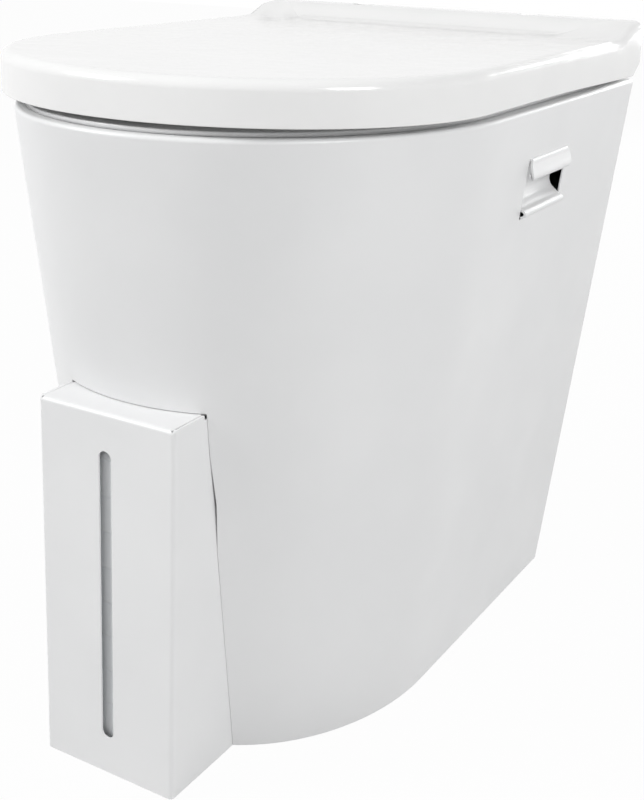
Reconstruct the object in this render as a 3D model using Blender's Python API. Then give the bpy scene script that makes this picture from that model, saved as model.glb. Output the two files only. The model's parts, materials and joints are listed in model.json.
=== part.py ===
# Urine-diverting toilet: a sheet steel housing that lifts off its base by two finger
# grips, with a moulded diverter insert, a hinged seat and lid on top, and a bucket and
# a urine canister standing inside. Metres, +Z up, front towards -Y, floor at z = 0.

import math

import bmesh
import bpy
from mathutils import Vector

# Sheet steel and the gap between pieces that touch
sheet = 0.0015
gap = 0.0003
overrun = 0.004
fold_radius = 0.003

# Housing shell: D-shaped in plan, narrower at the floor than under the seat
shell_height = 0.432
shell_top_width = 0.328
shell_top_depth = 0.469
shell_top_straight = 0.272
shell_width_taper = 0.079
shell_depth_taper = 0.0595
shell_straight_taper = 0.030
shell_flange = 0.022
shell_front_steps = 40
fold_steps = 3
back_flange = 0.014
back_shelf = 0.070

# Front box round the urine canister, with its sight slot
box_width = 0.105
box_headroom = 0.0200
box_setback = 0.0022
box_tuck = 0.014
slot_width = 0.0098
slot_foot = 0.027
slot_drop = 0.0255
seam_width = 0.0004
relief_radius = 0.0009

# Finger grip formed into each side wall
grip_length = 0.075
grip_height = 0.043
grip_rear = 0.1325
grip_drop = 0.034
grip_proud = 0.0063
grip_depth = 0.0120

# Moulded diverter insert that lies on the shell's top flange
insert_inset = 0.007
insert_flange = 0.0042
insert_corner = 0.010
insert_wall = 0.003
bowl_side_margin = 0.0605
bowl_front_margin = 0.0585
bowl_rear_margin = 0.1025
bowl_step_depth = 0.034
bowl_taper = 0.006
bowl_ledge = 0.011
bowl_side_ledge = 0.015
bowl_divider = 0.014
bowl_divider_ahead = 0.033
basin_depth = 0.0575
basin_floor_space = 0.006
basin_floor_side_space = 0.0154
chute_drop = 0.1305
chute_foot_ahead = 0.025
chute_foot_space = 0.0065
bowl_steps = 44
bowl_power = 2.5

# Drain of the urine basin
drain_ahead = 0.0055
drain_radius = 0.014
drain_wall = 0.002
drain_flange_radius = 0.021
drain_flange = 0.002
drain_drop = 0.0765
drain_nut_radius = 0.024
drain_nut_height = 0.008
strainer_radius = 0.019
strainer_height = 0.002
strainer_hole = 0.0022
strainer_ring = 0.0085

# Seat ring
seat_side_inset = 0.003
seat_front_inset = 0.0115
seat_straight_more = 0.020
seat_rear = 0.070
seat_corner = 0.018
seat_lift = 0.0037
seat_height = 0.0162
seat_side_band = 0.0615
seat_front_band = 0.0412
seat_rear_band = 0.150
seat_hole_rear_share = 0.444
seat_edge = 0.0075
seat_under_edge = 0.002

# Lid
lid_side_space = 0.0074
lid_front_space = 0.0081
lid_straight_more = 0.013
lid_rear = -0.009
lid_corner = 0.014
lid_clearance = 0.0020
lid_height = 0.0270
lid_wall = 0.004
lid_edge = 0.007
lid_rear_edge = 0.010
lid_rise = 0.0115
lid_rise_length = 0.040
lid_edge_steps = 4
lid_rear_cut = 0.017
lid_rear_cut_height = 0.015
lid_rim_drop = 0.0025
lid_rim_drop_length = 0.200

# Hinges: seat and lid turn on one line under the raised rear edge of the lid
hinge_rear = 0.015
hinge_drop = 0.014
hinge_pin_radius = 0.0035
hinge_boss_radius = 0.0085
hinge_run = 0.0003
hinge_centre_x = 0.0755
hinge_width = 0.010
hinge_space = 0.0006
bracket_reach = 0.050
bracket_top = -0.004
bracket_foot = 0.004
bracket_foot_width = 0.0195
hinge_notch_start = 0.0035
hinge_notch_space = 0.0015
seat_arm_reach = 0.084
seat_arm_height = 0.0125
lid_arm_reach = 0.047
lid_arm_depth = 0.009
lid_arm_top_shares = (0.25, 0.5, 0.75, 1.0)

# Base plate, its pads and the bucket's locating ring
pad_radius = 0.011
pad_height = 0.003
pad_inset = 0.030
pad_place_shares = (0.10, 0.62)
base_sheet = 0.0015
base_space = 0.0015
base_rim = 0.007
base_steps = 14
locator_height = 0.012
locator_wall = 0.002
locator_foot = 0.007

# Solids bucket
bucket_rear_space = 0.0113
bucket_side_space = 0.027
bucket_overlap = 0.0181
bucket_flare = 0.013
bucket_wall = 0.0025
bucket_rim = 0.006
bucket_rim_height = 0.010
bucket_steps = 40

# Urine canister and its inlet cap
canister_play = 0.0005
canister_rear_space = 0.0273
canister_wall = 0.002
canister_edge = 0.011
round_profile_share = 0.5
neck_radius = 0.0215
neck_height = 0.014
cap_radius = 0.027
cap_wall = 0.002
cap_skirt = 0.011
cap_cone = 0.010
cap_hole = 0.0185
cap_space = 0.0046
carry_length = 0.076
carry_width = 0.012
carry_height = 0.026
carry_bar = 0.008
stop_foot = 0.006
stop_height = 0.016

# Fasteners and bumpers
screw_radius = 0.0019
screw_head_radius = 0.0040
screw_head_height = 0.0016
screw_length = 0.011
insert_screw_angles = (15, 60)
bolt_radius = 0.0030
bolt_head_radius = 0.0058
bolt_head_height = 0.0042
bolt_length = 0.026
washer_radius = 0.0090
washer_height = 0.0015
nut_radius = 0.0065
nut_height = 0.0065
wing_reach = 0.013
wing_height = 0.010
wing_thickness = 0.0025
bumper_radius = 0.0075

# Places of bumpers: shares of the reach from the rear, front and rear pair, and of the half width
seat_bumper_shares = ((0.80, 0.62), (0.34, 0.80))
lid_bumper_shares = ((0.84, 0.64), (0.42, 0.82))

# Rings inside the lid's rounded edge: shares of the length of its rear rise
lid_ring_shares = (0.12, 0.3, 0.5, 0.7, 0.9, 1.1)

# Sizes and places that follow from the ones above
shell_foot_width = shell_top_width - shell_width_taper
shell_foot_depth = shell_top_depth - shell_depth_taper
shell_foot_straight = shell_top_straight - shell_straight_taper
widest_depth = shell_top_depth - shell_depth_taper * fold_radius / shell_height
back_y = (widest_depth + lid_rear) / 2
insert_top = shell_height + gap + insert_flange
seat_width = shell_top_width - 2 * seat_side_inset
seat_reach = shell_top_depth - seat_front_inset
seat_straight = shell_top_straight + seat_straight_more
seat_hole_width = seat_width - 2 * seat_side_band
seat_hole_length = seat_reach - seat_front_band - seat_rear_band
seat_hole_rear = seat_hole_length * seat_hole_rear_share
seat_hole_front = seat_hole_length - seat_hole_rear
seat_hole_centre = back_y - seat_rear_band - seat_hole_rear
lid_width = seat_width + 2 * lid_side_space
lid_reach = seat_reach + lid_front_space
lid_straight = seat_straight + lid_straight_more
lid_bottom = insert_top + lid_clearance
lid_flat = lid_bottom + lid_height
lid_crest = lid_flat + lid_rise
seat_bottom = insert_top + seat_lift
seat_top = seat_bottom + seat_height
hinge_y = back_y - hinge_rear
hinge_z = lid_crest - hinge_drop
lid_rear_y = back_y - lid_rear
base_top = pad_height + gap + base_sheet
stand_z = base_top + gap
grip_foot = shell_height - grip_drop - grip_height
bucket_foot_radius = shell_foot_width / 2 - bucket_side_space
bucket_top_radius = bucket_foot_radius + bucket_flare
bucket_y = back_y - bucket_rear_space - bucket_rim - bucket_top_radius
bowl_width = shell_top_width - 2 * bowl_side_margin
bowl_length = shell_top_depth - bowl_front_margin - bowl_rear_margin
bowl_centre = back_y - bowl_rear_margin - bowl_length / 2
bowl_floor = insert_top - bowl_step_depth
divider_y = bucket_y - bucket_foot_radius - bowl_divider_ahead
basin_width = bowl_width - 2 * bowl_side_ledge
basin_front = bowl_centre - bowl_length / 2 + bowl_ledge
basin_rear = divider_y - bowl_divider / 2
basin_length = basin_rear - basin_front
basin_centre = (basin_rear + basin_front) / 2
basin_floor = bowl_floor - basin_depth
drain_y = basin_centre - drain_ahead
drain_foot = basin_floor - drain_drop
chute_width = basin_width
chute_front = divider_y + bowl_divider / 2
chute_rear = bowl_centre + bowl_length / 2 - bowl_ledge
chute_length = chute_rear - chute_front
chute_centre = (chute_rear + chute_front) / 2
chute_foot = bowl_floor - chute_drop
bucket_top = chute_foot + bucket_overlap
chute_foot_radius = bucket_top_radius - bucket_wall - chute_foot_ahead - insert_wall - chute_foot_space
chute_foot_centre = bucket_y - chute_foot_ahead
neck_top = drain_foot - cap_space - cap_cone - cap_wall - gap
canister_top = neck_top - neck_height
box_front_y = back_y - shell_top_depth + box_setback
box_height = canister_top + box_headroom + sheet
canister_half = box_width / 2 - sheet - base_space - base_sheet - canister_play
canister_front = box_front_y + sheet + base_space + base_sheet + canister_play
canister_rear = bucket_y - bucket_foot_radius - canister_rear_space


# Helpers

def material(name, colour, roughness, metallic=0.0, alpha=1.0):
    made = bpy.data.materials.new(name)
    made.use_nodes = True
    shader = made.node_tree.nodes["Principled BSDF"]
    shader.inputs["Base Color"].default_value = (*colour, 1.0)
    shader.inputs["Roughness"].default_value = roughness
    shader.inputs["Metallic"].default_value = metallic
    shader.inputs["Alpha"].default_value = alpha
    made.diffuse_color = (*colour, alpha)
    return made


def add_object(name, verts, faces, finish=None):
    mesh = bpy.data.meshes.new(name)
    built = bmesh.new()
    corners = [built.verts.new(point) for point in verts]
    for face in faces:
        built.faces.new([corners[index] for index in face])
    bmesh.ops.recalc_face_normals(built, faces=built.faces)
    built.to_mesh(mesh)
    built.free()
    made = bpy.data.objects.new(name, mesh)
    bpy.context.scene.collection.objects.link(made)
    if finish is not None:
        made.data.materials.append(finish)
    return made


def loft(name, rings, finish=None, closed=False):
    """Skin over rings of equal length; closed joins the last ring to the first."""
    size = len(rings[0])
    verts = [point for ring in rings for point in ring]
    faces = []
    last = len(rings) if closed else len(rings) - 1
    for level in range(last):
        low = level * size
        high = ((level + 1) % len(rings)) * size
        for index in range(size):
            after = (index + 1) % size
            faces.append((low + index, low + after, high + after, high + index))
    if not closed:
        faces.append(tuple(range(size)))
        faces.append(tuple(range(last * size, (last + 1) * size)))
    return add_object(name, verts, faces, finish)


def prism_z(name, outline, low, high, finish=None):
    rings = [[(x, y, z) for x, y in outline] for z in (low, high)]
    return loft(name, rings, finish)


def prism_x(name, outline, low, high, finish=None):
    rings = [[(x, y, z) for y, z in outline] for x in (low, high)]
    return loft(name, rings, finish)


def block(name, low, high, finish=None):
    outline = [(low[0], low[1]), (high[0], low[1]), (high[0], high[1]), (low[0], high[1])]
    return prism_z(name, outline, low[2], high[2], finish)


def circle(radius, centre=(0.0, 0.0), steps=20, turn=0.0):
    points = []
    for step in range(steps):
        angle = turn + 2 * math.pi * step / steps
        points.append((centre[0] + radius * math.cos(angle), centre[1] + radius * math.sin(angle)))
    return points


def turned(name, profile, x, y, steps, finish=None):
    """A turned piece about a vertical line; the profile is a closed loop of radius and height."""
    rings = []
    for step in range(steps):
        angle = 2 * math.pi * step / steps
        rings.append([(x + r * math.cos(angle), y + r * math.sin(angle), z) for r, z in profile])
    return loft(name, rings, finish, closed=True)


def rod_x(name, radius, low, high, y, z, steps=20, finish=None):
    return prism_x(name, circle(radius, (y, z), steps), low, high, finish)


def rod_z(name, radius, low, high, x, y, steps=16, finish=None):
    return prism_z(name, circle(radius, (x, y), steps), low, high, finish)


def combine(target, tool, operation="DIFFERENCE"):
    """Apply a Boolean with the exact solver and delete the tool."""
    step = target.modifiers.new(operation.lower(), "BOOLEAN")
    step.operation = operation
    step.solver = "EXACT"
    step.object = tool
    bpy.context.view_layer.update()
    evaluated = target.evaluated_get(bpy.context.evaluated_depsgraph_get())
    mesh = bpy.data.meshes.new_from_object(evaluated)
    target.modifiers.clear()
    target.data = mesh
    bpy.data.objects.remove(tool)
    return target


def cut(target, *tools):
    for tool in tools:
        combine(target, tool, "DIFFERENCE")
    return target


def fuse(target, *tools):
    for tool in tools:
        combine(target, tool, "UNION")
    return target


def name_set(name, pieces, finish):
    """Number the pieces of a set, such as screws, and give them one finish."""
    for number, piece in enumerate(pieces, 1):
        piece.name = name + "_" + str(number)
        piece.data.name = piece.name
        piece.data.materials.clear()
        piece.data.materials.append(finish)
        smooth(piece, 50.0)
    return pieces


def smooth(thing, degrees=35.0):
    thing.data.shade_smooth()
    thing.data.set_sharp_from_angle(angle=math.radians(degrees))
    return thing


def ease(share):
    share = min(1.0, max(0.0, share))
    return share * share * (3.0 - 2.0 * share)


# Outlines

def shell_level(z):
    """Half width, depth and straight side of the shell at a height."""
    share = z / shell_height
    half = (shell_foot_width + (shell_top_width - shell_foot_width) * share) / 2
    depth = shell_foot_depth + (shell_top_depth - shell_foot_depth) * share
    straight = shell_foot_straight + (shell_top_straight - shell_foot_straight) * share
    return half, depth, straight


def shell_path(z, inset, steps=shell_front_steps):
    """Open path round the shell from its left rear edge to its right rear edge."""
    half, depth, straight = shell_level(z)
    points = [(-half + inset, back_y)]
    for step in range(steps + 1):
        angle = math.pi + math.pi * step / steps
        nose = depth - straight - inset
        points.append(((half - inset) * math.cos(angle), back_y - straight + nose * math.sin(angle)))
    points.append((half - inset, back_y))
    return points


def d_outline(half, reach, straight, rear, corner, inset=0.0, front_steps=36, side_steps=5, corner_steps=5):
    """Closed D: half ellipse in front, straight sides, straight rear edge with round corners."""
    half -= inset
    nose = reach - straight - inset
    rear_y = back_y - rear - inset
    corner -= inset
    points = []
    for step in range(front_steps + 1):
        angle = math.pi + math.pi * step / front_steps
        points.append((half * math.cos(angle), back_y - straight + nose * math.sin(angle)))
    side_end = rear_y - corner
    run = side_end - (back_y - straight)
    for step in range(1, side_steps):
        points.append((half, back_y - straight + run * step / side_steps))
    for step in range(corner_steps + 1):
        angle = math.pi / 2 * step / corner_steps
        points.append((half - corner + corner * math.cos(angle), side_end + corner * math.sin(angle)))
    for step in range(1, side_steps):
        points.append(((half - corner) * (1 - 2 * step / side_steps), rear_y))
    for step in range(corner_steps + 1):
        angle = math.pi / 2 + math.pi / 2 * step / corner_steps
        points.append((-half + corner + corner * math.cos(angle), side_end + corner * math.sin(angle)))
    for step in range(1, side_steps):
        points.append((-half, side_end - run * step / side_steps))
    return points


def round_oval(half_x, half_y, centre_y, power=2.0, steps=bowl_steps):
    """Oval whose fullness grows with the power; 2 is an ellipse."""
    points = []
    for step in range(steps):
        angle = 2 * math.pi * (step + 0.5) / steps
        across = math.cos(angle)
        along = math.sin(angle)
        x = half_x * math.copysign(abs(across) ** (2 / power), across)
        y = half_y * math.copysign(abs(along) ** (2 / power), along)
        points.append((x, centre_y + y))
    return points


# Housing

def make_shell(finish):
    inner_fold = fold_radius - sheet
    centre_z = shell_height - fold_radius
    profile = [(0.0, 0.0)]
    for step in range(fold_steps + 1):
        angle = math.pi / 2 * step / fold_steps
        profile.append((fold_radius * (1 - math.cos(angle)), centre_z + fold_radius * math.sin(angle)))
    profile.append((shell_flange, shell_height))
    profile.append((shell_flange, shell_height - sheet))
    for step in range(fold_steps + 1):
        angle = math.pi / 2 * (1 - step / fold_steps)
        profile.append((fold_radius - inner_fold * math.cos(angle), centre_z + inner_fold * math.sin(angle)))
    profile.append((sheet, 0.0))
    paths = [shell_path(z, inset) for inset, z in profile]
    rings = []
    for index in range(len(paths[0])):
        rings.append([(path[index][0], path[index][1], z) for path, (inset, z) in zip(paths, profile)])
    shell = loft("body_shell", rings, finish)
    window = box_width / 2 + gap
    cut(shell, block("box_window",
                     (-window, back_y - shell_top_depth - overrun, -overrun),
                     (window, back_y - shell_foot_straight, box_height + gap)))
    for side in (-1, 1):
        half = shell_level(grip_foot + grip_height / 2)[0]
        edges = sorted((side * (half - shell_flange), side * (half + shell_flange)))
        cut(shell, block("grip_window",
                         (edges[0], back_y - grip_rear - grip_length, grip_foot),
                         (edges[1], back_y - grip_rear, grip_foot + grip_height)))
    cut(shell, *insert_screw_holes())
    return smooth(shell)


def make_back_panel(finish):
    top = shell_height - fold_radius
    rings = []
    for z in (0.0, top):
        wide = shell_level(z)[0] - sheet - gap
        narrow = wide - sheet
        front = back_y - back_flange
        plan = [(-wide, front), (-wide, back_y), (wide, back_y), (wide, front),
                (narrow, front), (narrow, back_y - sheet), (-narrow, back_y - sheet), (-narrow, front)]
        rings.append([(x, y, z) for x, y in plan])
    panel = loft("back_panel", rings, finish)
    half_shelf = shell_level(shell_height)[0] - shell_flange - gap
    fuse(panel,
         block("shelf_web", (-half_shelf, back_y - sheet, top - shell_flange),
               (half_shelf, back_y, shell_height)),
         block("shelf", (-half_shelf, back_y - back_shelf, shell_height - sheet),
               (half_shelf, back_y, shell_height)))
    cut(panel, *bracket_bolt_holes())
    return panel


def box_rear_y(z):
    """Rear edge of the box's sides, inside the shell's slanted front."""
    return back_y - shell_level(z)[1] + 2 * box_tuck


def make_box(finish):
    rear_low = box_rear_y(0.0)
    rear_high = box_rear_y(box_height)

    def shape(name, inset, run_on):
        radius = fold_radius - inset
        front = box_front_y + inset
        top = box_height - inset
        side = [(front, -run_on)]
        for step in range(fold_steps + 1):
            angle = math.pi / 2 * step / fold_steps
            side.append((front + radius - radius * math.cos(angle), top - radius + radius * math.sin(angle)))
        side.append((rear_high + run_on, top))
        side.append((rear_low + run_on, -run_on))
        half = box_width / 2 - inset
        plan = [(half, back_y), (-half, back_y)]
        for corner in (-1, 1):
            for step in range(fold_steps + 1):
                angle = math.pi / 2 * (step / fold_steps if corner < 0 else 1 - step / fold_steps)
                plan.append((corner * (half - radius + radius * math.cos(angle)),
                             front + radius - radius * math.sin(angle)))
        solid = prism_x(name, side, -box_width, box_width, finish)
        return combine(solid, prism_z("plan", plan, -box_height, 2 * box_height), "INTERSECT")

    box = shape("urine_box", 0.0, 0.0)
    cut(box, shape("box_hollow", sheet, overrun))
    half_slot = slot_width / 2
    outline = []
    for centre, start in ((slot_foot + half_slot, math.pi), (box_height - slot_drop - half_slot, 0.0)):
        for step in range(7):
            angle = start + math.pi * step / 6
            outline.append((half_slot * math.cos(angle), centre + half_slot * math.sin(angle)))
    rings = [[(x, y, z) for x, z in outline] for y in (box_front_y - overrun, box_front_y + overrun)]
    cut(box, loft("slot", rings))
    seam_top = box_height - sheet - gap / 3
    for side in (-1, 1):
        edges = sorted((side * (box_width / 2 - sheet - gap), side * (box_width / 2 + overrun)))
        cut(box, block("seam", (edges[0], box_front_y + fold_radius, seam_top - seam_width),
                       (edges[1], back_y, seam_top)))
        relief = rod_z("relief", relief_radius, -fold_radius * 2, fold_radius * 2, 0.0, 0.0, 8)
        aim = Vector((side, -1, 1)).normalized()
        turn = aim.to_track_quat("Z", "Y").to_matrix().to_4x4()
        relief.data.transform(turn)
        spot = Vector((side * (box_width / 2 - fold_radius / 2), box_front_y + fold_radius / 2,
                       box_height - fold_radius / 2))
        for vert in relief.data.vertices:
            vert.co += spot
        cut(box, relief)
    return smooth(box)


def smooth_curve(points, steps):
    """Catmull-Rom curve through the points."""
    curve = []
    for index in range(len(points) - 1):
        before = points[max(index - 1, 0)]
        start = points[index]
        end = points[index + 1]
        after = points[min(index + 2, len(points) - 1)]
        for step in range(steps):
            t = step / steps
            point = []
            for a, b, c, d in zip(before, start, end, after):
                point.append(0.5 * (2 * b + (c - a) * t + (2 * a - 5 * b + 4 * c - d) * t * t
                                    + (3 * b - a - 3 * c + d) * t * t * t))
            curve.append(tuple(point))
    curve.append(tuple(points[-1]))
    return curve


def strip_outline(curve, thickness):
    """Closed outline of a bent strip whose middle line is the curve."""
    left = []
    right = []
    for index, (u, v) in enumerate(curve):
        before = curve[max(index - 1, 0)]
        after = curve[min(index + 1, len(curve) - 1)]
        along = Vector((after[0] - before[0], after[1] - before[1])).normalized()
        left.append((u - along.y * thickness / 2, v + along.x * thickness / 2))
        right.append((u + along.y * thickness / 2, v - along.x * thickness / 2))
    return left + right[::-1]


# Middle line of the grip's strip, from its lower lip over the finger cup to the folded
# edge of the hood: shares of the hood's and the cup's depth out of the wall, and of the height
grip_shares = [(0.06, 0.030), (0.42, 0.050), (0.50, 0.095), (0.28, 0.130), (-0.06, 0.155),
               (-0.34, 0.200), (-0.74, 0.275), (-0.97, 0.380), (-1.00, 0.520), (-0.97, 0.700),
               (-0.70, 0.870), (-0.22, 0.950), (0.16, 0.950), (0.45, 0.885), (0.74, 0.790),
               (0.98, 0.715), (0.99, 0.680), (0.80, 0.655), (0.61, 0.680), (0.60, 0.740)]


def make_grip(name, side, finish):
    middle = []
    for out_share, up_share in grip_shares:
        out = out_share * (grip_proud if out_share > 0 else grip_depth)
        middle.append((out, up_share * grip_height))
    outline = strip_outline(smooth_curve(middle, 2), sheet)
    rings = []
    for y in (back_y - grip_rear - grip_length + gap, back_y - grip_rear - gap):
        ring = []
        for out, up in outline:
            z = grip_foot + up
            ring.append((side * (shell_level(z)[0] + out), y, z))
        rings.append(ring)
    return smooth(loft(name, rings, finish), 40.0)


# Diverter insert

def oval_loft(name, levels):
    """Stack of ovals; each level gives height, half width, half length, centre and power."""
    rings = []
    for z, half_x, half_y, centre, power in levels:
        rings.append([(x, y, z) for x, y in round_oval(half_x, half_y, centre, power)])
    return loft(name, rings)


def bowl_levels(grow, extend):
    half_x = bowl_width / 2 + grow
    half_y = bowl_length / 2 + grow
    return [(insert_top + extend, half_x, half_y, bowl_centre, bowl_power),
            (insert_top - insert_flange - gap, half_x, half_y, bowl_centre, bowl_power),
            (bowl_floor - grow, half_x - bowl_taper, half_y - bowl_taper, bowl_centre, bowl_power)]


# Fall of the urine basin: shares of its slope left at shares of its depth
basin_fall_shares = [(0.0, 1.0), (0.35, 0.88), (0.65, 0.67), (0.85, 0.37), (1.0, 0.0)]


def basin_levels(grow):
    top = bowl_floor + sheet
    floor_x = drain_flange_radius + basin_floor_side_space
    floor_y = drain_flange_radius + basin_floor_space
    levels = []
    for fall_share, slope_share in basin_fall_shares:
        z = top + (basin_floor - top) * fall_share
        if fall_share == 1.0:
            z -= grow
        centre = basin_centre + (drain_y - basin_centre) * fall_share
        half_x = floor_x + (basin_width / 2 - floor_x) * slope_share + grow
        half_y = floor_y + (basin_length / 2 - floor_y) * slope_share + grow
        levels.append((z, half_x, half_y, centre, bowl_power))
    return levels


def chute_levels(grow, extend):
    top = bowl_floor + sheet
    waist = (top + chute_foot) / 2
    waist_centre = (chute_centre + chute_foot_centre) / 2
    foot = chute_foot_radius + grow
    waist_x = (chute_width / 2 + chute_foot_radius) / 2 + grow
    waist_y = (chute_length / 2 + chute_foot_radius) / 2 + grow
    return [(top, chute_width / 2 + grow, chute_length / 2 + grow, chute_centre, bowl_power),
            (waist, waist_x, waist_y, waist_centre, (bowl_power + 2) / 2),
            (chute_foot, foot, foot, chute_foot_centre, 2.0),
            (chute_foot - extend, foot, foot, chute_foot_centre, 2.0)]


def insert_outline(inset=0.0):
    half, depth, straight = shell_level(shell_height)
    return d_outline(half - insert_inset, depth - insert_inset, straight, insert_inset, insert_corner, inset)


def make_insert(finish):
    insert = prism_z("diverter_insert", insert_outline(), shell_height + gap, insert_top, finish)
    fuse(insert,
         oval_loft("bowl_outside", bowl_levels(insert_wall, -insert_flange / 2)),
         oval_loft("basin_outside", basin_levels(insert_wall)),
         oval_loft("chute_outside", chute_levels(insert_wall, 0.0)[:3]))
    cut(insert,
        oval_loft("bowl_inside", bowl_levels(0.0, overrun)),
        oval_loft("basin_inside", basin_levels(0.0)),
        oval_loft("chute_inside", chute_levels(0.0, overrun)),
        rod_z("drain_hole", drain_radius + gap, basin_floor - 2 * insert_wall - overrun,
              basin_floor + overrun, 0.0, drain_y, 20))
    cut(insert, *insert_screw_holes())
    cut(insert, *bracket_bolt_holes())
    return smooth(insert)


def insert_screw_places():
    """Screws along the middle of what the insert and the shell's flange share."""
    half, depth, straight = shell_level(shell_height)
    inset = (insert_inset + shell_flange) / 2
    nose = depth - straight - inset
    places = []
    for side in (-1, 1):
        places.append((side * (half - inset), back_y - straight / 2))
        for angle in map(math.radians, insert_screw_angles):
            places.append((side * (half - inset) * math.cos(angle),
                           back_y - straight - nose * math.sin(angle)))
    return places


def insert_screw_holes():
    low = shell_height - sheet - overrun
    return [rod_z("screw_hole", screw_radius + gap, low, insert_top + overrun, x, y, 10)
            for x, y in insert_screw_places()]


def make_screw(x, y, under_head, length, up=-1, steps=12):
    """Pan-head screw; up is -1 where the head is on top, 1 where it is below."""
    head = under_head - up * screw_head_height
    tip = under_head + up * length
    screw = rod_z("screw", screw_head_radius, *sorted((under_head, head)), x, y, steps)
    neck = under_head - up * screw_head_height / 2
    shank = rod_z("shank", screw_radius, *sorted((neck, tip)), x, y, steps)
    return fuse(screw, shank)


def make_insert_screws(finish):
    screws = [make_screw(x, y, insert_top + gap, screw_length) for x, y in insert_screw_places()]
    return name_set("insert_screw", screws, finish)


def make_drain(finish_plastic, finish_steel):
    under = basin_floor - insert_wall
    bore = drain_radius - drain_wall
    flange_low = basin_floor + gap
    flange_top = flange_low + drain_flange
    spout = turned("drain_spout", [(bore, drain_foot), (drain_radius, drain_foot), (drain_radius, flange_low),
                                   (drain_flange_radius, flange_low), (drain_flange_radius, flange_top),
                                   (bore, flange_top)], 0.0, drain_y, 20, finish_plastic)
    nut = prism_z("drain_nut", circle(drain_nut_radius, (0.0, drain_y), 6), under - gap - drain_nut_height,
                  under - gap, finish_plastic)
    cut(nut, rod_z("nut_bore", drain_radius + gap, under - drain_nut_height - overrun, under + overrun,
                   0.0, drain_y, 20))
    low = flange_top + gap
    strainer = prism_z("basin_strainer", circle(strainer_radius, (0.0, drain_y), 20), low,
                       low + strainer_height, finish_steel)
    holes = [(0.0, drain_y)] + circle(strainer_ring, (0.0, drain_y), 6)
    for x, y in holes:
        cut(strainer, rod_z("hole", strainer_hole, low - overrun, low + overrun, x, y, 8))
    return smooth(spout), nut, strainer


# Seat and lid

def seat_hole(grow):
    """The seat's opening, seen at the same angles as the points of the seat's outline."""
    points = []
    for x, y in seat_outline(0.0):
        angle = math.atan2(y - seat_hole_centre, x)
        half_x = seat_hole_width / 2 + grow
        half_y = (seat_hole_front if y < seat_hole_centre else seat_hole_rear) + grow
        reach = 1 / math.hypot(math.cos(angle) / half_x, math.sin(angle) / half_y)
        points.append((reach * math.cos(angle), seat_hole_centre + reach * math.sin(angle)))
    return points


def seat_outline(inset):
    return d_outline(seat_width / 2, seat_reach, seat_straight, seat_rear, seat_corner, inset,
                     front_steps=32, side_steps=7)


def make_seat(finish):
    rings = []

    def add(points, z):
        rings.append([(x, y, z) for x, y in points])

    add(seat_outline(seat_under_edge), seat_bottom)
    add(seat_outline(0.0), seat_bottom + seat_under_edge)
    for step in range(4):
        angle = math.pi / 2 * step / 3
        add(seat_outline(seat_edge * (1 - math.cos(angle))), seat_top - seat_edge * (1 - math.sin(angle)))
    for step in range(4):
        angle = math.pi / 2 * (1 - step / 3)
        add(seat_hole(seat_edge * (1 - math.cos(angle))),
            seat_top - sheet - seat_edge * (1 - math.sin(angle)))
    add(seat_hole(0.0), seat_bottom + seat_under_edge)
    add(seat_hole(seat_under_edge), seat_bottom)
    seat = loft("seat_ring", rings, finish, closed=True)
    for side in (-1, 1):
        low, high = arm_span("seat", side)
        cut(seat, block("arm_pocket", (low - gap, hinge_y - seat_arm_reach - gap, seat_bottom - overrun),
                        (high + gap, back_y, seat_bottom + seat_arm_height + 2 * gap)))
        cut(seat, rod_z("screw_hole", screw_radius + gap, seat_bottom, seat_screw_tip() + gap,
                        *seat_screw_place(side), 10))
    return smooth(seat)


def lid_top(y):
    """Upper surface of the lid: flat, with a soft rise along the rear edge."""
    return lid_flat + lid_rise * ease((y - (hinge_y - lid_rise_length)) / lid_rise_length)


def lid_rim(y):
    """Lower edge of the lid: level in front, and a little lower towards the rear."""
    return lid_bottom - lid_rim_drop * ease((y - back_y + lid_rim_drop_length) / lid_rim_drop_length)


def lid_outline(inset):
    return d_outline(lid_width / 2, lid_reach, lid_straight, lid_rear, lid_corner, inset, side_steps=6)


def lid_skin(shrink):
    """Rings of one skin of the lid: its lower edge, the rounded top edge, then the flat inside it."""
    base = lid_outline(0.0)
    tests = lid_outline(gap)
    rings = [[] for step in range(lid_edge_steps + 2)]
    for (x, y), (near_x, near_y) in zip(base, tests):
        inward = Vector((near_x - x, near_y - y)).normalized()
        rear_share = ease(-inward.y) if y > back_y - lid_straight / 2 else 0.0
        radius = lid_edge + (lid_rear_edge - lid_edge) * rear_share - shrink
        rings[0].append((x + inward.x * shrink, y + inward.y * shrink, lid_rim(y)))
        for step in range(lid_edge_steps + 1):
            angle = math.pi / 2 * step / lid_edge_steps
            inset = shrink + radius * (1 - math.cos(angle))
            px = x + inward.x * inset
            py = y + inward.y * inset
            rings[step + 1].append((px, py, lid_top(py) - shrink - radius * (1 - math.sin(angle))))
    for share in lid_ring_shares:
        inset = lid_rear_edge + lid_rise_length * share
        flat = d_outline(lid_width / 2 - inset, lid_reach - inset, lid_straight, lid_rear + inset,
                         lid_corner - lid_rear_edge, side_steps=6)
        rings.append([(x, y, lid_top(y) - shrink) for x, y in flat])
    return rings


def make_lid(finish):
    lid = loft("lid", lid_skin(lid_wall)[::-1] + lid_skin(0.0), finish)
    cut_z = lid_bottom + lid_rear_cut_height
    wedge_y = back_y - lid_rear_cut
    wedge = [(wedge_y, lid_bottom - 2 * overrun), (wedge_y, lid_rim(wedge_y)), (lid_rear_y, cut_z),
             (lid_rear_y + overrun, cut_z), (lid_rear_y + overrun, lid_bottom - 2 * overrun)]
    cut(lid, prism_x("rear_cut", wedge, -lid_width, lid_width))
    for side in (-1, 1):
        low, high = arm_span("bracket", side)
        cut(lid, block("hinge_notch", (low - hinge_notch_space, hinge_y + hinge_notch_start, lid_bottom),
                       (high + hinge_notch_space, lid_rear_y + overrun, lid_crest + overrun)))
    return smooth(lid)


# Hinges

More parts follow.
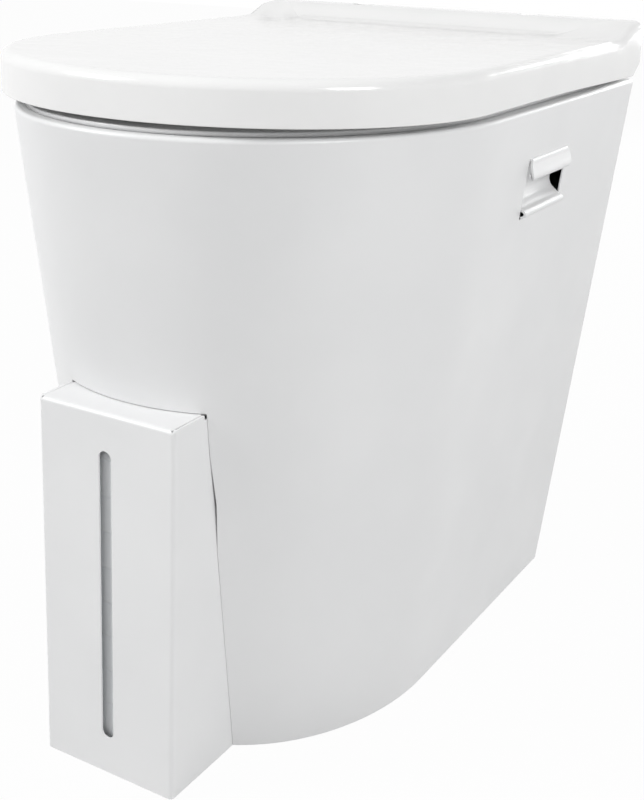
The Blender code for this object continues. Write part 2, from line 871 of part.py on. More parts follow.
def arm_span(kind, side):
    """Left and right face of a hinge piece: seat arm, bracket and lid arm lie side by side."""
    order = {"seat": -1, "bracket": 0, "lid": 1}[kind]
    centre = side * (hinge_centre_x + order * (hinge_width + hinge_space))
    return centre - hinge_width / 2, centre + hinge_width / 2


def boss_arc(start, end, steps=8):
    points = []
    for step in range(steps + 1):
        angle = math.radians(start + (end - start) * step / steps)
        points.append((hinge_y + hinge_boss_radius * math.cos(angle),
                       hinge_z + hinge_boss_radius * math.sin(angle)))
    return points


def pin_bore(low, high):
    radius = hinge_pin_radius + hinge_run
    return rod_x("pin_bore", radius, low - overrun, high + overrun, hinge_y, hinge_z, 24)


def make_bracket(name, side, finish):
    """Cranked bracket: it stands in front of the hinge line, so the lid's rear edge can pass under it."""
    low, high = arm_span("bracket", side)
    foot_z = insert_top + gap
    front = hinge_y - bracket_reach
    slope_foot = hinge_y - (hinge_z - foot_z)
    side_view = [(front, foot_z), (slope_foot, foot_z)] + boss_arc(-135, 90)
    side_view += [(hinge_y - 2 * hinge_boss_radius, hinge_z + bracket_top), (front, hinge_z + bracket_top)]
    bracket = prism_x(name, side_view, low, high, finish)
    outer = side * (hinge_centre_x + bracket_foot_width + hinge_width / 2)
    edges = sorted((outer, side * hinge_centre_x))
    fuse(bracket, block("foot", (edges[0], front, foot_z), (edges[1], slope_foot, foot_z + bracket_foot)))
    cut(bracket, pin_bore(low, high))
    x, y = bracket_bolt_place(side)
    cut(bracket, rod_z("bolt_hole", bolt_radius + gap, foot_z - overrun,
                       foot_z + bracket_foot + overrun, x, y, 12))
    return smooth(bracket)


def bracket_bolt_place(side):
    return (side * (hinge_centre_x + hinge_width / 2 + bracket_foot_width / 2),
            hinge_y - (bracket_reach + hinge_z - insert_top) / 2)


def bracket_bolt_holes():
    return [rod_z("bolt_hole", bolt_radius + gap, shell_height - sheet - overrun, insert_top + overrun,
                  *bracket_bolt_place(side), 12) for side in (-1, 1)]


def make_bracket_fasteners(finish):
    head_z = insert_top + 2 * gap + bracket_foot
    washer_top = shell_height - sheet - gap
    nut_top = washer_top - washer_height - gap
    bolts = []
    washers = []
    nuts = []
    for side in (-1, 1):
        x, y = bracket_bolt_place(side)
        bolt = prism_z("bolt", circle(bolt_head_radius, (x, y), 6), head_z, head_z + bolt_head_height)
        fuse(bolt, rod_z("shank", bolt_radius, head_z - bolt_length, head_z + bolt_head_height / 2, x, y, 12))
        bolts.append(bolt)
        ring = [(bolt_radius + gap, washer_top - washer_height), (washer_radius, washer_top - washer_height),
                (washer_radius, washer_top), (bolt_radius + gap, washer_top)]
        washers.append(turned("washer", ring, x, y, 16))
        nut = rod_z("nut", nut_radius, nut_top - nut_height, nut_top, x, y, 12)
        wing_low = nut_top - nut_height - wing_height / 2
        fuse(nut, block("wing", (x - wing_reach, y - wing_thickness / 2, wing_low),
                        (x + wing_reach, y + wing_thickness / 2, wing_low + wing_height)))
        cut(nut, rod_z("thread", bolt_radius + gap, wing_low - overrun, nut_top + overrun, x, y, 12))
        nuts.append(nut)
    return (name_set("bracket_bolt", bolts, finish) + name_set("bracket_washer", washers, finish)
            + name_set("bracket_wing_nut", nuts, finish))


def make_pin(name, side, finish):
    spans = arm_span("seat", side) + arm_span("lid", side)
    return smooth(rod_x(name, hinge_pin_radius, min(spans), max(spans), hinge_y, hinge_z, 24, finish))


def make_seat_arm(name, side, finish):
    low, high = arm_span("seat", side)
    bottom = seat_bottom + gap
    top = seat_bottom + seat_arm_height
    front = hinge_y - seat_arm_reach
    side_view = [(front, bottom), (hinge_y - seat_rear, bottom)] + boss_arc(-150, 110)
    side_view += [(hinge_y - seat_rear / 2, top), (front, top)]
    arm = prism_x(name, side_view, low, high, finish)
    cut(arm, pin_bore(low, high),
        rod_z("screw_hole", screw_radius + gap, bottom - overrun, top + overrun, *seat_screw_place(side), 10))
    return smooth(arm)


def seat_screw_place(side):
    low, high = arm_span("seat", side)
    return (low + high) / 2, hinge_y - (seat_arm_reach + seat_rear - hinge_rear) / 2


def seat_screw_tip():
    return seat_top - seat_under_edge


def make_seat_screws(finish):
    screws = []
    for side in (-1, 1):
        x, y = seat_screw_place(side)
        screws.append(make_screw(x, y, seat_bottom, seat_screw_tip() - seat_bottom, up=1))
    return name_set("seat_arm_screw", screws, finish)


def make_lid_arm(name, side, finish):
    low, high = arm_span("lid", side)
    front = hinge_y - lid_arm_reach
    bottom = hinge_z - lid_arm_depth
    side_view = [(front, bottom)] + boss_arc(-150, 90)
    for share in lid_arm_top_shares:
        y = hinge_y - lid_arm_reach * share
        side_view.append((y, lid_top(y) - lid_wall - 2 * gap))
    arm = prism_x(name, side_view, low, high, finish)
    cut(arm, pin_bore(low, high))
    x, y = lid_screw_place(side)
    cut(arm, rod_z("screw_hole", screw_radius + gap, bottom - overrun, lid_flat, x, y, 10))
    return smooth(arm)


def lid_screw_place(side):
    low, high = arm_span("lid", side)
    return (low + high) / 2, hinge_y - lid_arm_reach + 2 * screw_head_radius


def make_lid_screws(finish):
    screws = []
    for side in (-1, 1):
        x, y = lid_screw_place(side)
        under_head = hinge_z - lid_arm_depth - gap
        tip = lid_flat - lid_wall - 2 * gap
        screws.append(make_screw(x, y, under_head, tip - under_head, up=1))
    return name_set("lid_arm_screw", screws, finish)


def bumper_places(place_shares):
    return [(side * seat_width / 2 * width_share, back_y - seat_reach * reach_share)
            for side in (-1, 1) for reach_share, width_share in place_shares]


def make_seat_bumpers(finish):
    low = insert_top + gap
    pieces = [rod_z("bumper", bumper_radius, low, seat_bottom - gap, x, y, 16)
              for x, y in bumper_places(seat_bumper_shares)]
    return name_set("seat_bumper", pieces, finish)


def make_lid_bumpers(finish):
    top = lid_flat - lid_wall - gap
    pieces = [rod_z("bumper", bumper_radius, seat_top + gap, top, x, y, 16)
              for x, y in bumper_places(lid_bumper_shares)]
    return name_set("lid_bumper", pieces, finish)


# Base and what stands on it

def base_outline(inset):
    """Plan of the base plate: the shell's foot outline, with a tongue that reaches into the front box."""
    half, depth, straight = shell_level(0.0)
    inner = sheet + base_space + inset
    half -= inner
    nose = depth - straight - inner
    slot_x = box_width / 2 + base_space + inset
    slot_y = box_rear_y(0.0) + base_space + inset
    tongue_x = box_width / 2 - inner
    end_angle = math.acos(slot_x / half)
    left = [(-half, back_y - inner)]
    for step in range(base_steps + 1):
        angle = end_angle * step / base_steps
        left.append((-half * math.cos(angle), back_y - straight - nose * math.sin(angle)))
    left += [(-slot_x, slot_y), (-tongue_x, slot_y), (-tongue_x, box_front_y + inner)]
    return left + [(-x, y) for x, y in left[::-1]]


def make_base(finish):
    low = pad_height + gap
    wall = base_sheet
    rings = []
    for inset, z in ((0.0, low), (0.0, base_top + base_rim), (wall, base_top + base_rim), (wall, base_top)):
        rings.append([(x, y, z) for x, y in base_outline(inset)])
    return loft("base_plate", rings, finish)


def make_pads(finish):
    half, depth, straight = shell_level(0.0)
    places = [(side * (half - pad_inset), back_y - share * depth)
              for side in (-1, 1) for share in pad_place_shares]
    places += [(side * box_width / 4, box_front_y + pad_inset) for side in (-1, 1)]
    pieces = [rod_z("pad", pad_radius, 0.0, pad_height, x, y, 16) for x, y in places]
    return name_set("foot_pad", pieces, finish)


def make_bucket(finish):
    foot = stand_z
    top = bucket_top
    rim_low = top - bucket_rim_height
    rim_start = bucket_top_radius - bucket_flare * bucket_rim_height / (top - foot)
    profile = [(bucket_foot_radius, foot), (rim_start, rim_low),
               (bucket_top_radius + bucket_rim, rim_low), (bucket_top_radius + bucket_rim, top),
               (bucket_top_radius - bucket_wall, top), (bucket_foot_radius - bucket_wall, foot + bucket_wall)]
    rings = [[(x, y, z) for x, y in circle(radius, (0.0, bucket_y), bucket_steps)] for radius, z in profile]
    return smooth(loft("solids_bucket", rings, finish))


def make_locator(finish):
    slope = bucket_flare / (bucket_top - stand_z)
    inner = bucket_foot_radius + slope * locator_height + 2 * gap
    outer = inner + locator_wall
    low = stand_z
    profile = [(inner, low), (outer + locator_foot, low), (outer + locator_foot, low + locator_wall),
               (outer, low + locator_wall), (outer, low + locator_height), (inner, low + locator_height)]
    return smooth(turned("bucket_locator", profile, 0.0, bucket_y, 40, finish))


def rounded_box(name, low, high, radius, steps, finish=None):
    made = block(name, low, high, finish)
    built = bmesh.new()
    built.from_mesh(made.data)
    bmesh.ops.bevel(built, geom=list(built.edges), offset=radius, segments=steps, affect="EDGES",
                    profile=round_profile_share)
    bmesh.ops.recalc_face_normals(built, faces=built.faces)
    built.to_mesh(made.data)
    built.free()
    return made


def make_canister(finish):
    half = canister_half
    front = canister_front
    rear = canister_rear
    canister = rounded_box("urine_canister", (-half, front, stand_z), (half, rear, canister_top),
                           canister_edge, 3, finish)
    wall = canister_wall
    bar_low = canister_top - wall / 2
    bar_top = canister_top + carry_height
    carry_y = (drain_y + cap_radius + canister_rear) / 2
    carry = block("carry", (-carry_length / 2, carry_y - carry_width / 2, bar_low),
                  (carry_length / 2, carry_y + carry_width / 2, bar_top))
    fuse(canister, rod_z("neck", neck_radius, bar_low, neck_top, 0.0, drain_y, 24), carry)
    cut(canister,
        block("carry_gap", (carry_bar - carry_length / 2, carry_y - carry_width, canister_top),
              (carry_length / 2 - carry_bar, carry_y + carry_width, bar_top - carry_bar)),
        rounded_box("hollow", (-half + wall, front + wall, stand_z + wall),
                    (half - wall, rear - wall, canister_top - wall), canister_edge - wall, 3),
        rod_z("mouth", neck_radius - wall, canister_top - 2 * wall, neck_top + overrun, 0.0, drain_y, 24))
    return smooth(canister)


def make_cap(finish):
    inner = neck_radius + 2 * gap
    low = neck_top - cap_skirt
    lid_low = neck_top + gap
    lid_high = lid_low + cap_wall
    profile = [(inner, low), (cap_radius, low), (cap_radius, lid_high), (cap_hole + cap_wall, lid_high),
               (cap_hole + cap_wall * 2, lid_high + cap_cone), (cap_hole + cap_wall, lid_high + cap_cone),
               (cap_hole, lid_low), (inner, lid_low)]
    return smooth(turned("canister_cap", profile, 0.0, drain_y, 28, finish))


def make_stop(finish):
    """Low angle behind the canister that keeps it under the drain."""
    half = canister_half - canister_edge
    rear = canister_rear + 2 * gap
    stop = block("canister_stop", (-half, rear, stand_z),
                 (half, rear + base_sheet, stand_z + stop_height), finish)
    return fuse(stop, block("stop_foot", (-half, rear, stand_z),
                            (half, rear + stop_foot, stand_z + base_sheet)))


# Assembly

def hang_on(axis_name, place, pieces, parent=None):
    """Empty on a joint's axis that carries the pieces of one moving body."""
    empty = bpy.data.objects.new(axis_name, None)
    bpy.context.scene.collection.objects.link(empty)
    empty.location = place
    if parent is not None:
        empty.parent = parent
        empty.location = Vector(place) - parent.matrix_world.translation
    bpy.context.view_layer.update()
    for piece in pieces:
        piece.parent = empty
        piece.matrix_parent_inverse = empty.matrix_world.inverted()
    return empty


def main():
    for thing in list(bpy.data.objects):
        bpy.data.objects.remove(thing)

    steel = material("powder_coat", (0.84, 0.85, 0.86), 0.42)
    gloss = material("lid_plastic", (0.90, 0.90, 0.90), 0.16)
    moulded = material("insert_plastic", (0.82, 0.83, 0.84), 0.30)
    bucket_finish = material("bucket_plastic", (0.16, 0.17, 0.18), 0.45)
    clear = material("canister_plastic", (0.80, 0.84, 0.86), 0.30, alpha=0.6)
    cap_finish = material("cap_plastic", (0.10, 0.22, 0.40), 0.40)
    rubber = material("rubber", (0.05, 0.05, 0.05), 0.80)
    bright = material("stainless_steel", (0.62, 0.62, 0.62), 0.28, 1.0)
    nylon = material("hinge_plastic", (0.78, 0.78, 0.78), 0.40)

    make_base(steel)
    make_pads(rubber)
    make_bucket(bucket_finish)
    make_locator(moulded)
    make_canister(clear)
    make_stop(bright)
    cap = make_cap(cap_finish)

    housing = [make_shell(steel), make_back_panel(steel), make_box(steel),
               make_grip("grip_left", -1, steel), make_grip("grip_right", 1, steel), make_insert(moulded)]
    housing += make_insert_screws(bright)
    housing += make_drain(moulded, bright)
    housing += make_bracket_fasteners(bright)
    seat = [make_seat(gloss)] + make_seat_bumpers(rubber) + make_seat_screws(bright)
    lid = [make_lid(gloss)] + make_lid_bumpers(rubber) + make_lid_screws(bright)
    for word, side in (("left", -1), ("right", 1)):
        housing.append(make_bracket("hinge_bracket_" + word, side, nylon))
        housing.append(make_pin("hinge_pin_" + word, side, bright))
        seat.append(make_seat_arm("seat_arm_" + word, side, nylon))
        lid.append(make_lid_arm("lid_arm_" + word, side, nylon))

    hang_on("cap_axis", (0.0, drain_y, neck_top), [cap])
    lift = hang_on("housing_lift_axis", (0.0, 0.0, 0.0), housing)
    seat_axis = hang_on("seat_hinge_axis", (0.0, hinge_y, hinge_z), seat, lift)
    hang_on("lid_hinge_axis", (0.0, hinge_y, hinge_z), lid, seat_axis)


main()
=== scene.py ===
# %% [markdown]
# # A dry toilet that keeps liquids and solids apart
# The real object is a tapered housing folded from thin sheet steel and powder coated white.
# A box on its front lets a canister stand further forward, and a slot in the box shows how full
# the canister is. On top lie a moulded diverter insert, a seat and a lid. This lesson dresses the
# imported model: it keeps every size and every moving body, and gives each piece its finished
# surface. The frame is loaded first, because all places below are read from it.

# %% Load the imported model
import json
from math import acos, atan2, cos, hypot, pi, radians, sin, sqrt

import bmesh
import bpy
from mathutils import Matrix, Vector


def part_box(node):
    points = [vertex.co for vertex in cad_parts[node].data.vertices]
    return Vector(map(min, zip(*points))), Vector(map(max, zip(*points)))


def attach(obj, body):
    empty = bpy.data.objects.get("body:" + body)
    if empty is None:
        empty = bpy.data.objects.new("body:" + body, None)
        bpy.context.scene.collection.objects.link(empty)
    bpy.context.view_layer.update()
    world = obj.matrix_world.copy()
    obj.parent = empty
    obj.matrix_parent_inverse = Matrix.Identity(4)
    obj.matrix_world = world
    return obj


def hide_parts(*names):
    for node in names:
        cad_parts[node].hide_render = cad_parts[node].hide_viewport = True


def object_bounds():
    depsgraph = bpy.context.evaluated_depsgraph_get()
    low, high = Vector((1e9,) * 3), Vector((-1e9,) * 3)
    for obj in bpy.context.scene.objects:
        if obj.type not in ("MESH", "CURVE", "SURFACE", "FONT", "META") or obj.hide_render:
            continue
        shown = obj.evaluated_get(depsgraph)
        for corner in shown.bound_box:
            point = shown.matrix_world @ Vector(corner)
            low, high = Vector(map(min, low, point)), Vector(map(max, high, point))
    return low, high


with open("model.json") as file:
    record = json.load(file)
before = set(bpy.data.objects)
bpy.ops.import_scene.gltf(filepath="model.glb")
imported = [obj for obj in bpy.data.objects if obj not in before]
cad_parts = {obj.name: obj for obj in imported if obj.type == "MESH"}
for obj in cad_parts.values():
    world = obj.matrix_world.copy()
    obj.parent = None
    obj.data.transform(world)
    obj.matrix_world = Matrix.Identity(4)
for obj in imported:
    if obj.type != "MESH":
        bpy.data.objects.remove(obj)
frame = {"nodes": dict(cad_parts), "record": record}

cad_low, cad_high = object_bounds()

# %% [markdown]
# ## The camera
# A photograph fixes the camera: the heights of near and far corners give its distance, and the
# lean of the upright edges gives its tilt. The object stands left of the lens axis here, so the
# camera's shift moves the picture instead of turning the camera, which keeps upright edges as they
# are. The matrix is built from three directions, since that shows what each angle does.

# %% Camera from the photograph's viewing angle
width_px, height_px = 644, 800
axis_px, focal_px = (230.0, 345.0), 1315.7
eye = Vector((0.4691, -0.8269, 0.5525))
azimuth, elevation, roll = radians(32.7), radians(18.3), radians(1.2)

back = Vector((sin(azimuth) * cos(elevation), -cos(azimuth) * cos(elevation), sin(elevation)))
level_right = Vector((0, 0, 1)).cross(back).normalized()
level_up = back.cross(level_right)
right = level_right * cos(roll) + level_up * sin(roll)
up = level_up * cos(roll) - level_right * sin(roll)


def place(name, data):
    """A new object in the scene."""
    thing = bpy.data.objects.new(name, data)
    bpy.context.scene.collection.objects.link(thing)
    return thing


camera = place("camera", bpy.data.cameras.new("camera"))
camera.matrix_world = Matrix.Translation(eye) @ Matrix((right, up, back)).transposed().to_4x4()
camera.data.lens = focal_px * camera.data.sensor_width / height_px
camera.data.shift_x = (width_px / 2 - axis_px[0]) / height_px
camera.data.shift_y = (axis_px[1] - height_px / 2) / height_px
camera.data.clip_start = 0.05
bpy.context.scene.camera = camera
print("lens", round(camera.data.lens, 2),
      "shift", [round(camera.data.shift_x, 4), round(camera.data.shift_y, 4)])

# %% [markdown]
# ## Light, floor and background
# A catalogue picture of a white object needs soft light from all round, or its faces vanish into
# each other. The world gives most of it. Rays from the camera, and those mirrored in gloss, see a
# plain white instead, so the background stays white without more light on the object. The floor
# does the same in part, so it is pale and still holds a soft shadow.

# %% World and floor
bpy.context.scene.view_settings.view_transform = "Standard"


def connect(tree, value, socket):
    """Link a socket, or set its value when the value is a number or a colour."""
    if isinstance(value, bpy.types.NodeSocket):
        tree.links.new(value, socket)
    else:
        socket.default_value = value


def add(tree, kind, sockets, **fields):
    """Add a shader node; sockets holds its inputs by name or number."""
    node = tree.nodes.new("ShaderNode" + kind)
    for name, value in fields.items():
        setattr(node, name, value)
    for name, value in sockets.items():
        connect(tree, value, node.inputs[name])
    return node


def seen_rays(tree):
    """1 for rays from the camera and for those mirrored or let through, 0 for the rest."""
    path = add(tree, "LightPath", {})
    first = add(tree, "Math", {0: path.outputs["Is Camera Ray"], 1: path.outputs["Is Glossy Ray"]},
                operation="MAXIMUM")
    return add(tree, "Math", {0: first.outputs[0], 1: path.outputs["Is Transmission Ray"]},
               operation="MAXIMUM").outputs[0]


full_white = (1.0, 1.0, 1.0, 1.0)
sky_level = 0.41
floor_glow_share = 0.97
floor_half, floor_drop = 6.0, 0.0003
paper_grey, paper_light, paper_grain = 0.56, 0.60, 900.0

world = bpy.data.worlds.new("studio")
world.use_nodes = True
bpy.context.scene.world = world
tree = world.node_tree
sky = tree.nodes["Background"]
sky.inputs["Color"].default_value = full_white
sky.inputs["Strength"].default_value = sky_level
backdrop = add(tree, "Background", {"Color": full_white, "Strength": 1.0})
choice = add(tree, "MixShader", {0: seen_rays(tree), 1: sky.outputs[0], 2: backdrop.outputs[0]})
tree.links.new(choice.outputs[0], tree.nodes["World Output"].inputs["Surface"])

floor_z = cad_low.z - floor_drop
mesh = bpy.data.meshes.new("floor")
corners = [(-1, -1), (1, -1), (1, 1), (-1, 1)]
mesh.from_pydata([(x * floor_half, y * floor_half, floor_z) for x, y in corners], [], [(0, 1, 2, 3)])
floor = place("floor", mesh)
paper = bpy.data.materials.new("floor_paper")
paper.use_nodes = True
tree = paper.node_tree
grain = add(tree, "TexNoise", {"Vector": add(tree, "TexCoord", {}).outputs["Object"], "Scale": paper_grain})
pale = add(tree, "ValToRGB", {0: grain.outputs[0]})
for stop, grey in zip(pale.color_ramp.elements, (paper_grey, paper_light)):
    stop.color = (grey, grey, grey, 1.0)
shader = tree.nodes["Principled BSDF"]
shader.inputs["Roughness"].default_value = 0.95
shader.inputs["Specular IOR Level"].default_value = 0.1
tree.links.new(pale.outputs[0], shader.inputs["Base Color"])
glow = add(tree, "Emission", {"Color": full_white, "Strength": 1.0})
part = add(tree, "Math", {0: seen_rays(tree), 1: floor_glow_share}, operation="MULTIPLY")
choice = add(tree, "MixShader", {0: part.outputs[0], 1: shader.outputs[0], 2: glow.outputs[0]})
tree.links.new(choice.outputs[0], tree.nodes["Material Output"].inputs["Surface"])
mesh.materials.append(paper)
print("floor at", round(floor_z, 4), "m, sky at", sky_level)

# %% [markdown]
# Three area lights do the rest. The key lamp hangs to the front left and the side lamp to the right,
# both at about 30 degrees, so the upright walls come out nearly even and the lid stays a little
# lighter. The rounded edge of the lid mirrors them as short bright streaks. A weaker lamp stands low
# behind the object, so that the back and the raised seat are not left dull.

# %% Lamps
object_middle = Vector((0.0, 0.0, 0.25))


def softbox(name, spot, width, height, watts):
    """An area lamp that looks at the middle of the object."""
    light = bpy.data.lights.new(name, "AREA")
    light.shape = "RECTANGLE"
    light.size = width
    light.size_y = height
    light.energy = watts
    lamp = place(name, light)
    lamp.location = spot
    lamp.rotation_euler = (object_middle - Vector(spot)).to_track_quat("-Z", "Y").to_euler()


softbox("key", (-1.7, -1.65, 1.85), 0.9, 0.9, 46.0)
softbox("side", (2.4, -0.9, 1.6), 0.9, 0.9, 34.0)
softbox("rear", (0.3, 2.8, 0.75), 1.2, 1.0, 26.0)

# %% [markdown]
# ## Tools for the pieces
# Most pieces here are skins over a row of rings, the way a boat's planking lies over its ribs.
# A modifier then gives sheet metal its thickness or rounds an edge, and it is applied at once, so
# each piece ends as a plain mesh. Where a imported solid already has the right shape, a copy of it is
# rounded instead. Flat faces that a cut or an export has split are joined again before that,
# because rounding would turn their thin leftovers into dark slivers.

# %% Mesh tools


def new_piece(name, verts, faces, facing=None):
    """A mesh object. An open net says which way its outer side faces, as a direction."""
    mesh = bpy.data.meshes.new(name)
    built = bmesh.new()
    points = [built.verts.new(point) for point in verts]
    for face in faces:
        built.faces.new([points[index] for index in face])
    bmesh.ops.delete(built, geom=[point for point in points if not point.link_faces], context="VERTS")
    bmesh.ops.recalc_face_normals(built, faces=built.faces)
    if facing is not None:
        total = sum((face.normal * face.calc_area() for face in built.faces), Vector())
        if total.dot(Vector(facing)) < 0:
            bmesh.ops.reverse_faces(built, faces=built.faces)
    built.to_mesh(mesh)
    built.free()
    return place(name, mesh)


def ring_faces(rings, around=True, closed=False, ends=False):
    """Corner numbers of the quads between rings of equal length."""
    size = len(rings[0])
    spans = size if around else size - 1
    last = len(rings) if closed else len(rings) - 1
    faces = []
    for level in range(last):
        low = level * size
        high = (level + 1) % len(rings) * size
        for index in range(spans):
            after = (index + 1) % size
            faces.append((low + index, low + after, high + after, high + index))
    if ends:
        faces.append(tuple(range(size)))
        faces.append(tuple(range(last * size, (last + 1) * size)))
    return faces


def skin(name, rings, around=True, closed=False, ends=False, leave_out=(), facing=None):
    """Skin over rings; leave_out holds the numbers of faces that stay open, such as windows."""
    faces = ring_faces(rings, around, closed, ends)
    kept = [face for number, face in enumerate(faces) if number not in leave_out]
    return new_piece(name, [point for ring in rings for point in ring], kept, facing)


def apply(piece, kind, **settings):
    step = piece.modifiers.new(kind.lower(), kind)
    for name, value in settings.items():
        setattr(step, name, value)
    bpy.context.view_layer.update()
    graph = bpy.context.evaluated_depsgraph_get()
    mesh = bpy.data.meshes.new_from_object(piece.evaluated_get(graph))
    piece.modifiers.clear()
    piece.data = mesh
    return piece


def thicken(piece, thickness, side=-1):
    """Give a skin its sheet; side -1 grows inwards from its outer face."""
    return apply(piece, "SOLIDIFY", thickness=thickness, offset=side, use_even_offset=True)


def round_edges(piece, radius, segments=2, degrees=35):
    return apply(piece, "BEVEL", width=radius, segments=segments, limit_method="ANGLE",
                 angle_limit=radians(degrees), use_clamp_overlap=True)


def cut(piece, *tools, operation="DIFFERENCE"):
    for tool in tools:
        apply(piece, "BOOLEAN", object=tool, operation=operation, solver="EXACT")
        bpy.data.objects.remove(tool)
    return piece


def prism(name, outline, low, high, axis="z"):
    """A straight prism; the outline lies across the axis."""
    order = {"x": (2, 0, 1), "y": (0, 2, 1), "z": (0, 1, 2)}[axis]
    return skin(name, [[tuple((*point, end)[index] for index in order) for point in outline]
                       for end in (low, high)], ends=True)


def on_circle(centre, radius, angle):
    return centre[0] + radius * cos(angle), centre[1] + radius * sin(angle)


def circle(radius, centre, steps):
    return [on_circle(centre, radius, 2 * pi * step / steps) for step in range(steps)]


def arc(centre, radius, start, end, steps):
    """Points on an arc, with its angles in degrees."""
    return [on_circle(centre, radius, radians(start + (end - start) * step / steps))
            for step in range(steps + 1)]


def rectangle(x_low, y_low, x_high, y_high):
    return [(x_low, y_low), (x_high, y_low), (x_high, y_high), (x_low, y_high)]


def quarter(steps, first=0):
    """The angles of a quarter turn in even steps."""
    return [pi / 2 * step / steps for step in range(first, steps + 1)]


def rounding(radius, steps, first=0):
    """Steps round an edge: how far in from its side, and how far down from its top."""
    return [(radius * (1 - cos(turn)), radius * (1 - sin(turn))) for turn in quarter(steps, first)]


def lifted(points, z):
    """Profile points whose heights are given from a level."""
    return [(point[0], z + point[1], *point[2:]) for point in points]


def turned(name, profile, x, y, steps=64, ripple=0.0, ripples=0):
    """A turned piece round an upright line. The profile is a closed loop of (radius, height); points
    with a third value of 1 carry the ripple, such as a cap's grip ribs."""
    rings = []
    for step in range(steps):
        angle = 2 * pi * step / steps
        wave = ripple * cos(ripples * angle)
        ring = []
        for point in profile:
            radius = point[0] + (wave if len(point) > 2 else 0.0)
            ring.append((x + radius * cos(angle), y + radius * sin(angle), point[1]))
        rings.append(ring)
    return skin(name, rings, closed=True)


def join_flats(mesh, target, merge, underside=False):
    """Copy a mesh to a target with its flat faces joined again: all, or those of its underside."""
    built = bmesh.new()
    built.from_mesh(mesh)
    bmesh.ops.remove_doubles(built, verts=built.verts, dist=merge)
    edges = [edge for edge in built.edges if not underside or (
        len(edge.link_faces) == 2 and all(face.normal.z < -0.9999 for face in edge.link_faces))]
    bmesh.ops.dissolve_limit(built, angle_limit=radians(1.0), verts=built.verts, edges=edges)
    built.to_mesh(target)
    built.free()


def coat(piece, radius=0.0004, degrees=35, segments=2):
    """Round the raw edges as a coating does, and shade flats flat and bends smooth."""
    if radius:
        round_edges(piece, radius, segments, degrees)
    piece.data.shade_smooth()
    return apply(piece, "WEIGHTED_NORMAL", keep_sharp=False, weight=60)


def softened(node, radius):
    """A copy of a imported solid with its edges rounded."""
    piece = new_piece(node + "_finish", [], [])
    join_flats(frame["nodes"][node].data, piece.data, 1e-6)
    return coat(piece, radius, 30)


def tell(piece):
    print(piece.name, "measures", [round(size, 4) for size in piece.dimensions], "m")


print("tools ready")

# %% [markdown]
# ## The housing
# The housing is one long sheet bent into a D and narrower at the floor, so that it leans outward.
# It could be cut from a solid, but a skin shows how it is made: every upright line of the net is
# straight, because the outline grows evenly from the floor to the seat. The net's lines are laid
# along the edges of the windows for the box and the grips, and those faces are left out.

# %% Housing outline and shell
sheet = 0.0015
gap = 0.0003
fold = 0.003
back_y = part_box("back_panel")[1].y
shell_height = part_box("body_shell")[1].z
shell_foot = (0.1245, 0.4095, 0.242)
shell_top = (0.164, 0.469, 0.272)
shell_flange, flange_start = 0.022, 0.011
window_half, window_top = 0.0528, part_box("urine_box")[1].z + gap
seam_width, seam_widest, seam_run = 0.0016, 0.195, 0.035
grip_low, grip_high, grip_rim = 0.355, 0.398, 0.3966
grip_ys = (0.1325, 0.2075)
net_lines = (0.0, 0.0675, grip_ys[0], 0.170, grip_ys[1])
corner_steps, front_steps = 28, 12


def ease(share):
    share = min(1.0, max(0.0, share))
    return share * share * (3.0 - 2.0 * share)


def shell_level(z):
    """Half width, depth and straight side of the housing at a height."""
    return [foot + (top - foot) * z / shell_height for foot, top in zip(shell_foot, shell_top)]


def shell_row(z, inset):
    """Points round the housing from its left rear edge to its right rear edge."""
    half, depth, straight = shell_level(z)
    nose = depth - straight - inset
    half -= inset
    opening = window_half + seam_width * ease(1.0 - abs(z - seam_widest) / seam_run)
    corner = acos(opening / half)
    angles = [corner * step / corner_steps for step in range(corner_steps + 1)]
    angles += [corner + (pi - 2 * corner) * step / front_steps for step in range(1, front_steps)]
    curve = [(-half * cos(angle), back_y - straight - nose * sin(angle)) for angle in angles]
    left = [(-half, back_y - line) for line in net_lines] + curve[:corner_steps + 1]
    return left + curve[corner_steps + 1:] + [(-x, y) for x, y in left[::-1]]


rows = [(z, 0.0) for z in (0.0, 0.06, 0.12, 0.16, seam_widest, 0.23, window_top, 0.31, grip_low, grip_rim,
                           0.415, shell_height - fold)]
rows += [(shell_height - fold + fold * sin(angle), fold * (1 - cos(angle)))
         for angle in quarter(5, 1)]
rows += [(shell_height, flange_start), (shell_height, shell_flange)]
rings = [[(x, y, z) for x, y in shell_row(z, inset)] for z, inset in rows]
spans = len(rings[0]) - 1
first_open = len(net_lines) + corner_steps
open_faces = set()
for level, (z, inset) in enumerate(rows):
    for column in range(spans):
        in_box = z < window_top and first_open <= column < first_open + front_steps
        in_grip = z == grip_low and column in (2, 3, spans - 4, spans - 3)
        if in_box or in_grip:
            open_faces.add(level * spans + column)
shell = skin("housing_shell", rings, around=False, leave_out=open_faces, facing=(0, -1, 0))
print("shell faces:", len(shell.data.polygons), "open:", len(open_faces))

# %% [markdown]
# A skin has no thickness. The sheet grows inwards from it, and every raw edge gets a small round,
# because powder coat flows round an edge and never leaves a knife line. Weighted normals keep the
# flat walls flat where they meet a bend.

# %% Give the housing its sheet
thicken(shell, sheet)
coat(shell)
tell(shell)

# %% [markdown]
# ## The back panel
# The rear is closed by a flat panel with its side edges folded forward inside the housing, and its
# top folded over as a shelf that carries the hinges. Two notches let the fold pass between the
# housing's own flanges. It is one sheet too, so it is drawn as one net in the same way.

# %% Back panel
panel_top = shell_height - fold
panel_flange = 0.014
shelf_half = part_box("body_shell")[1].x - shell_flange - gap
shelf_reach = 0.070
notch_z = panel_top - shell_flange
panel_rows = [0.0, 0.14, 0.28, notch_z, panel_top]
bend, bend_turns = 0.0025, (0.4, 0.8, 1.2)
shelf_columns = (6, 7, 8)


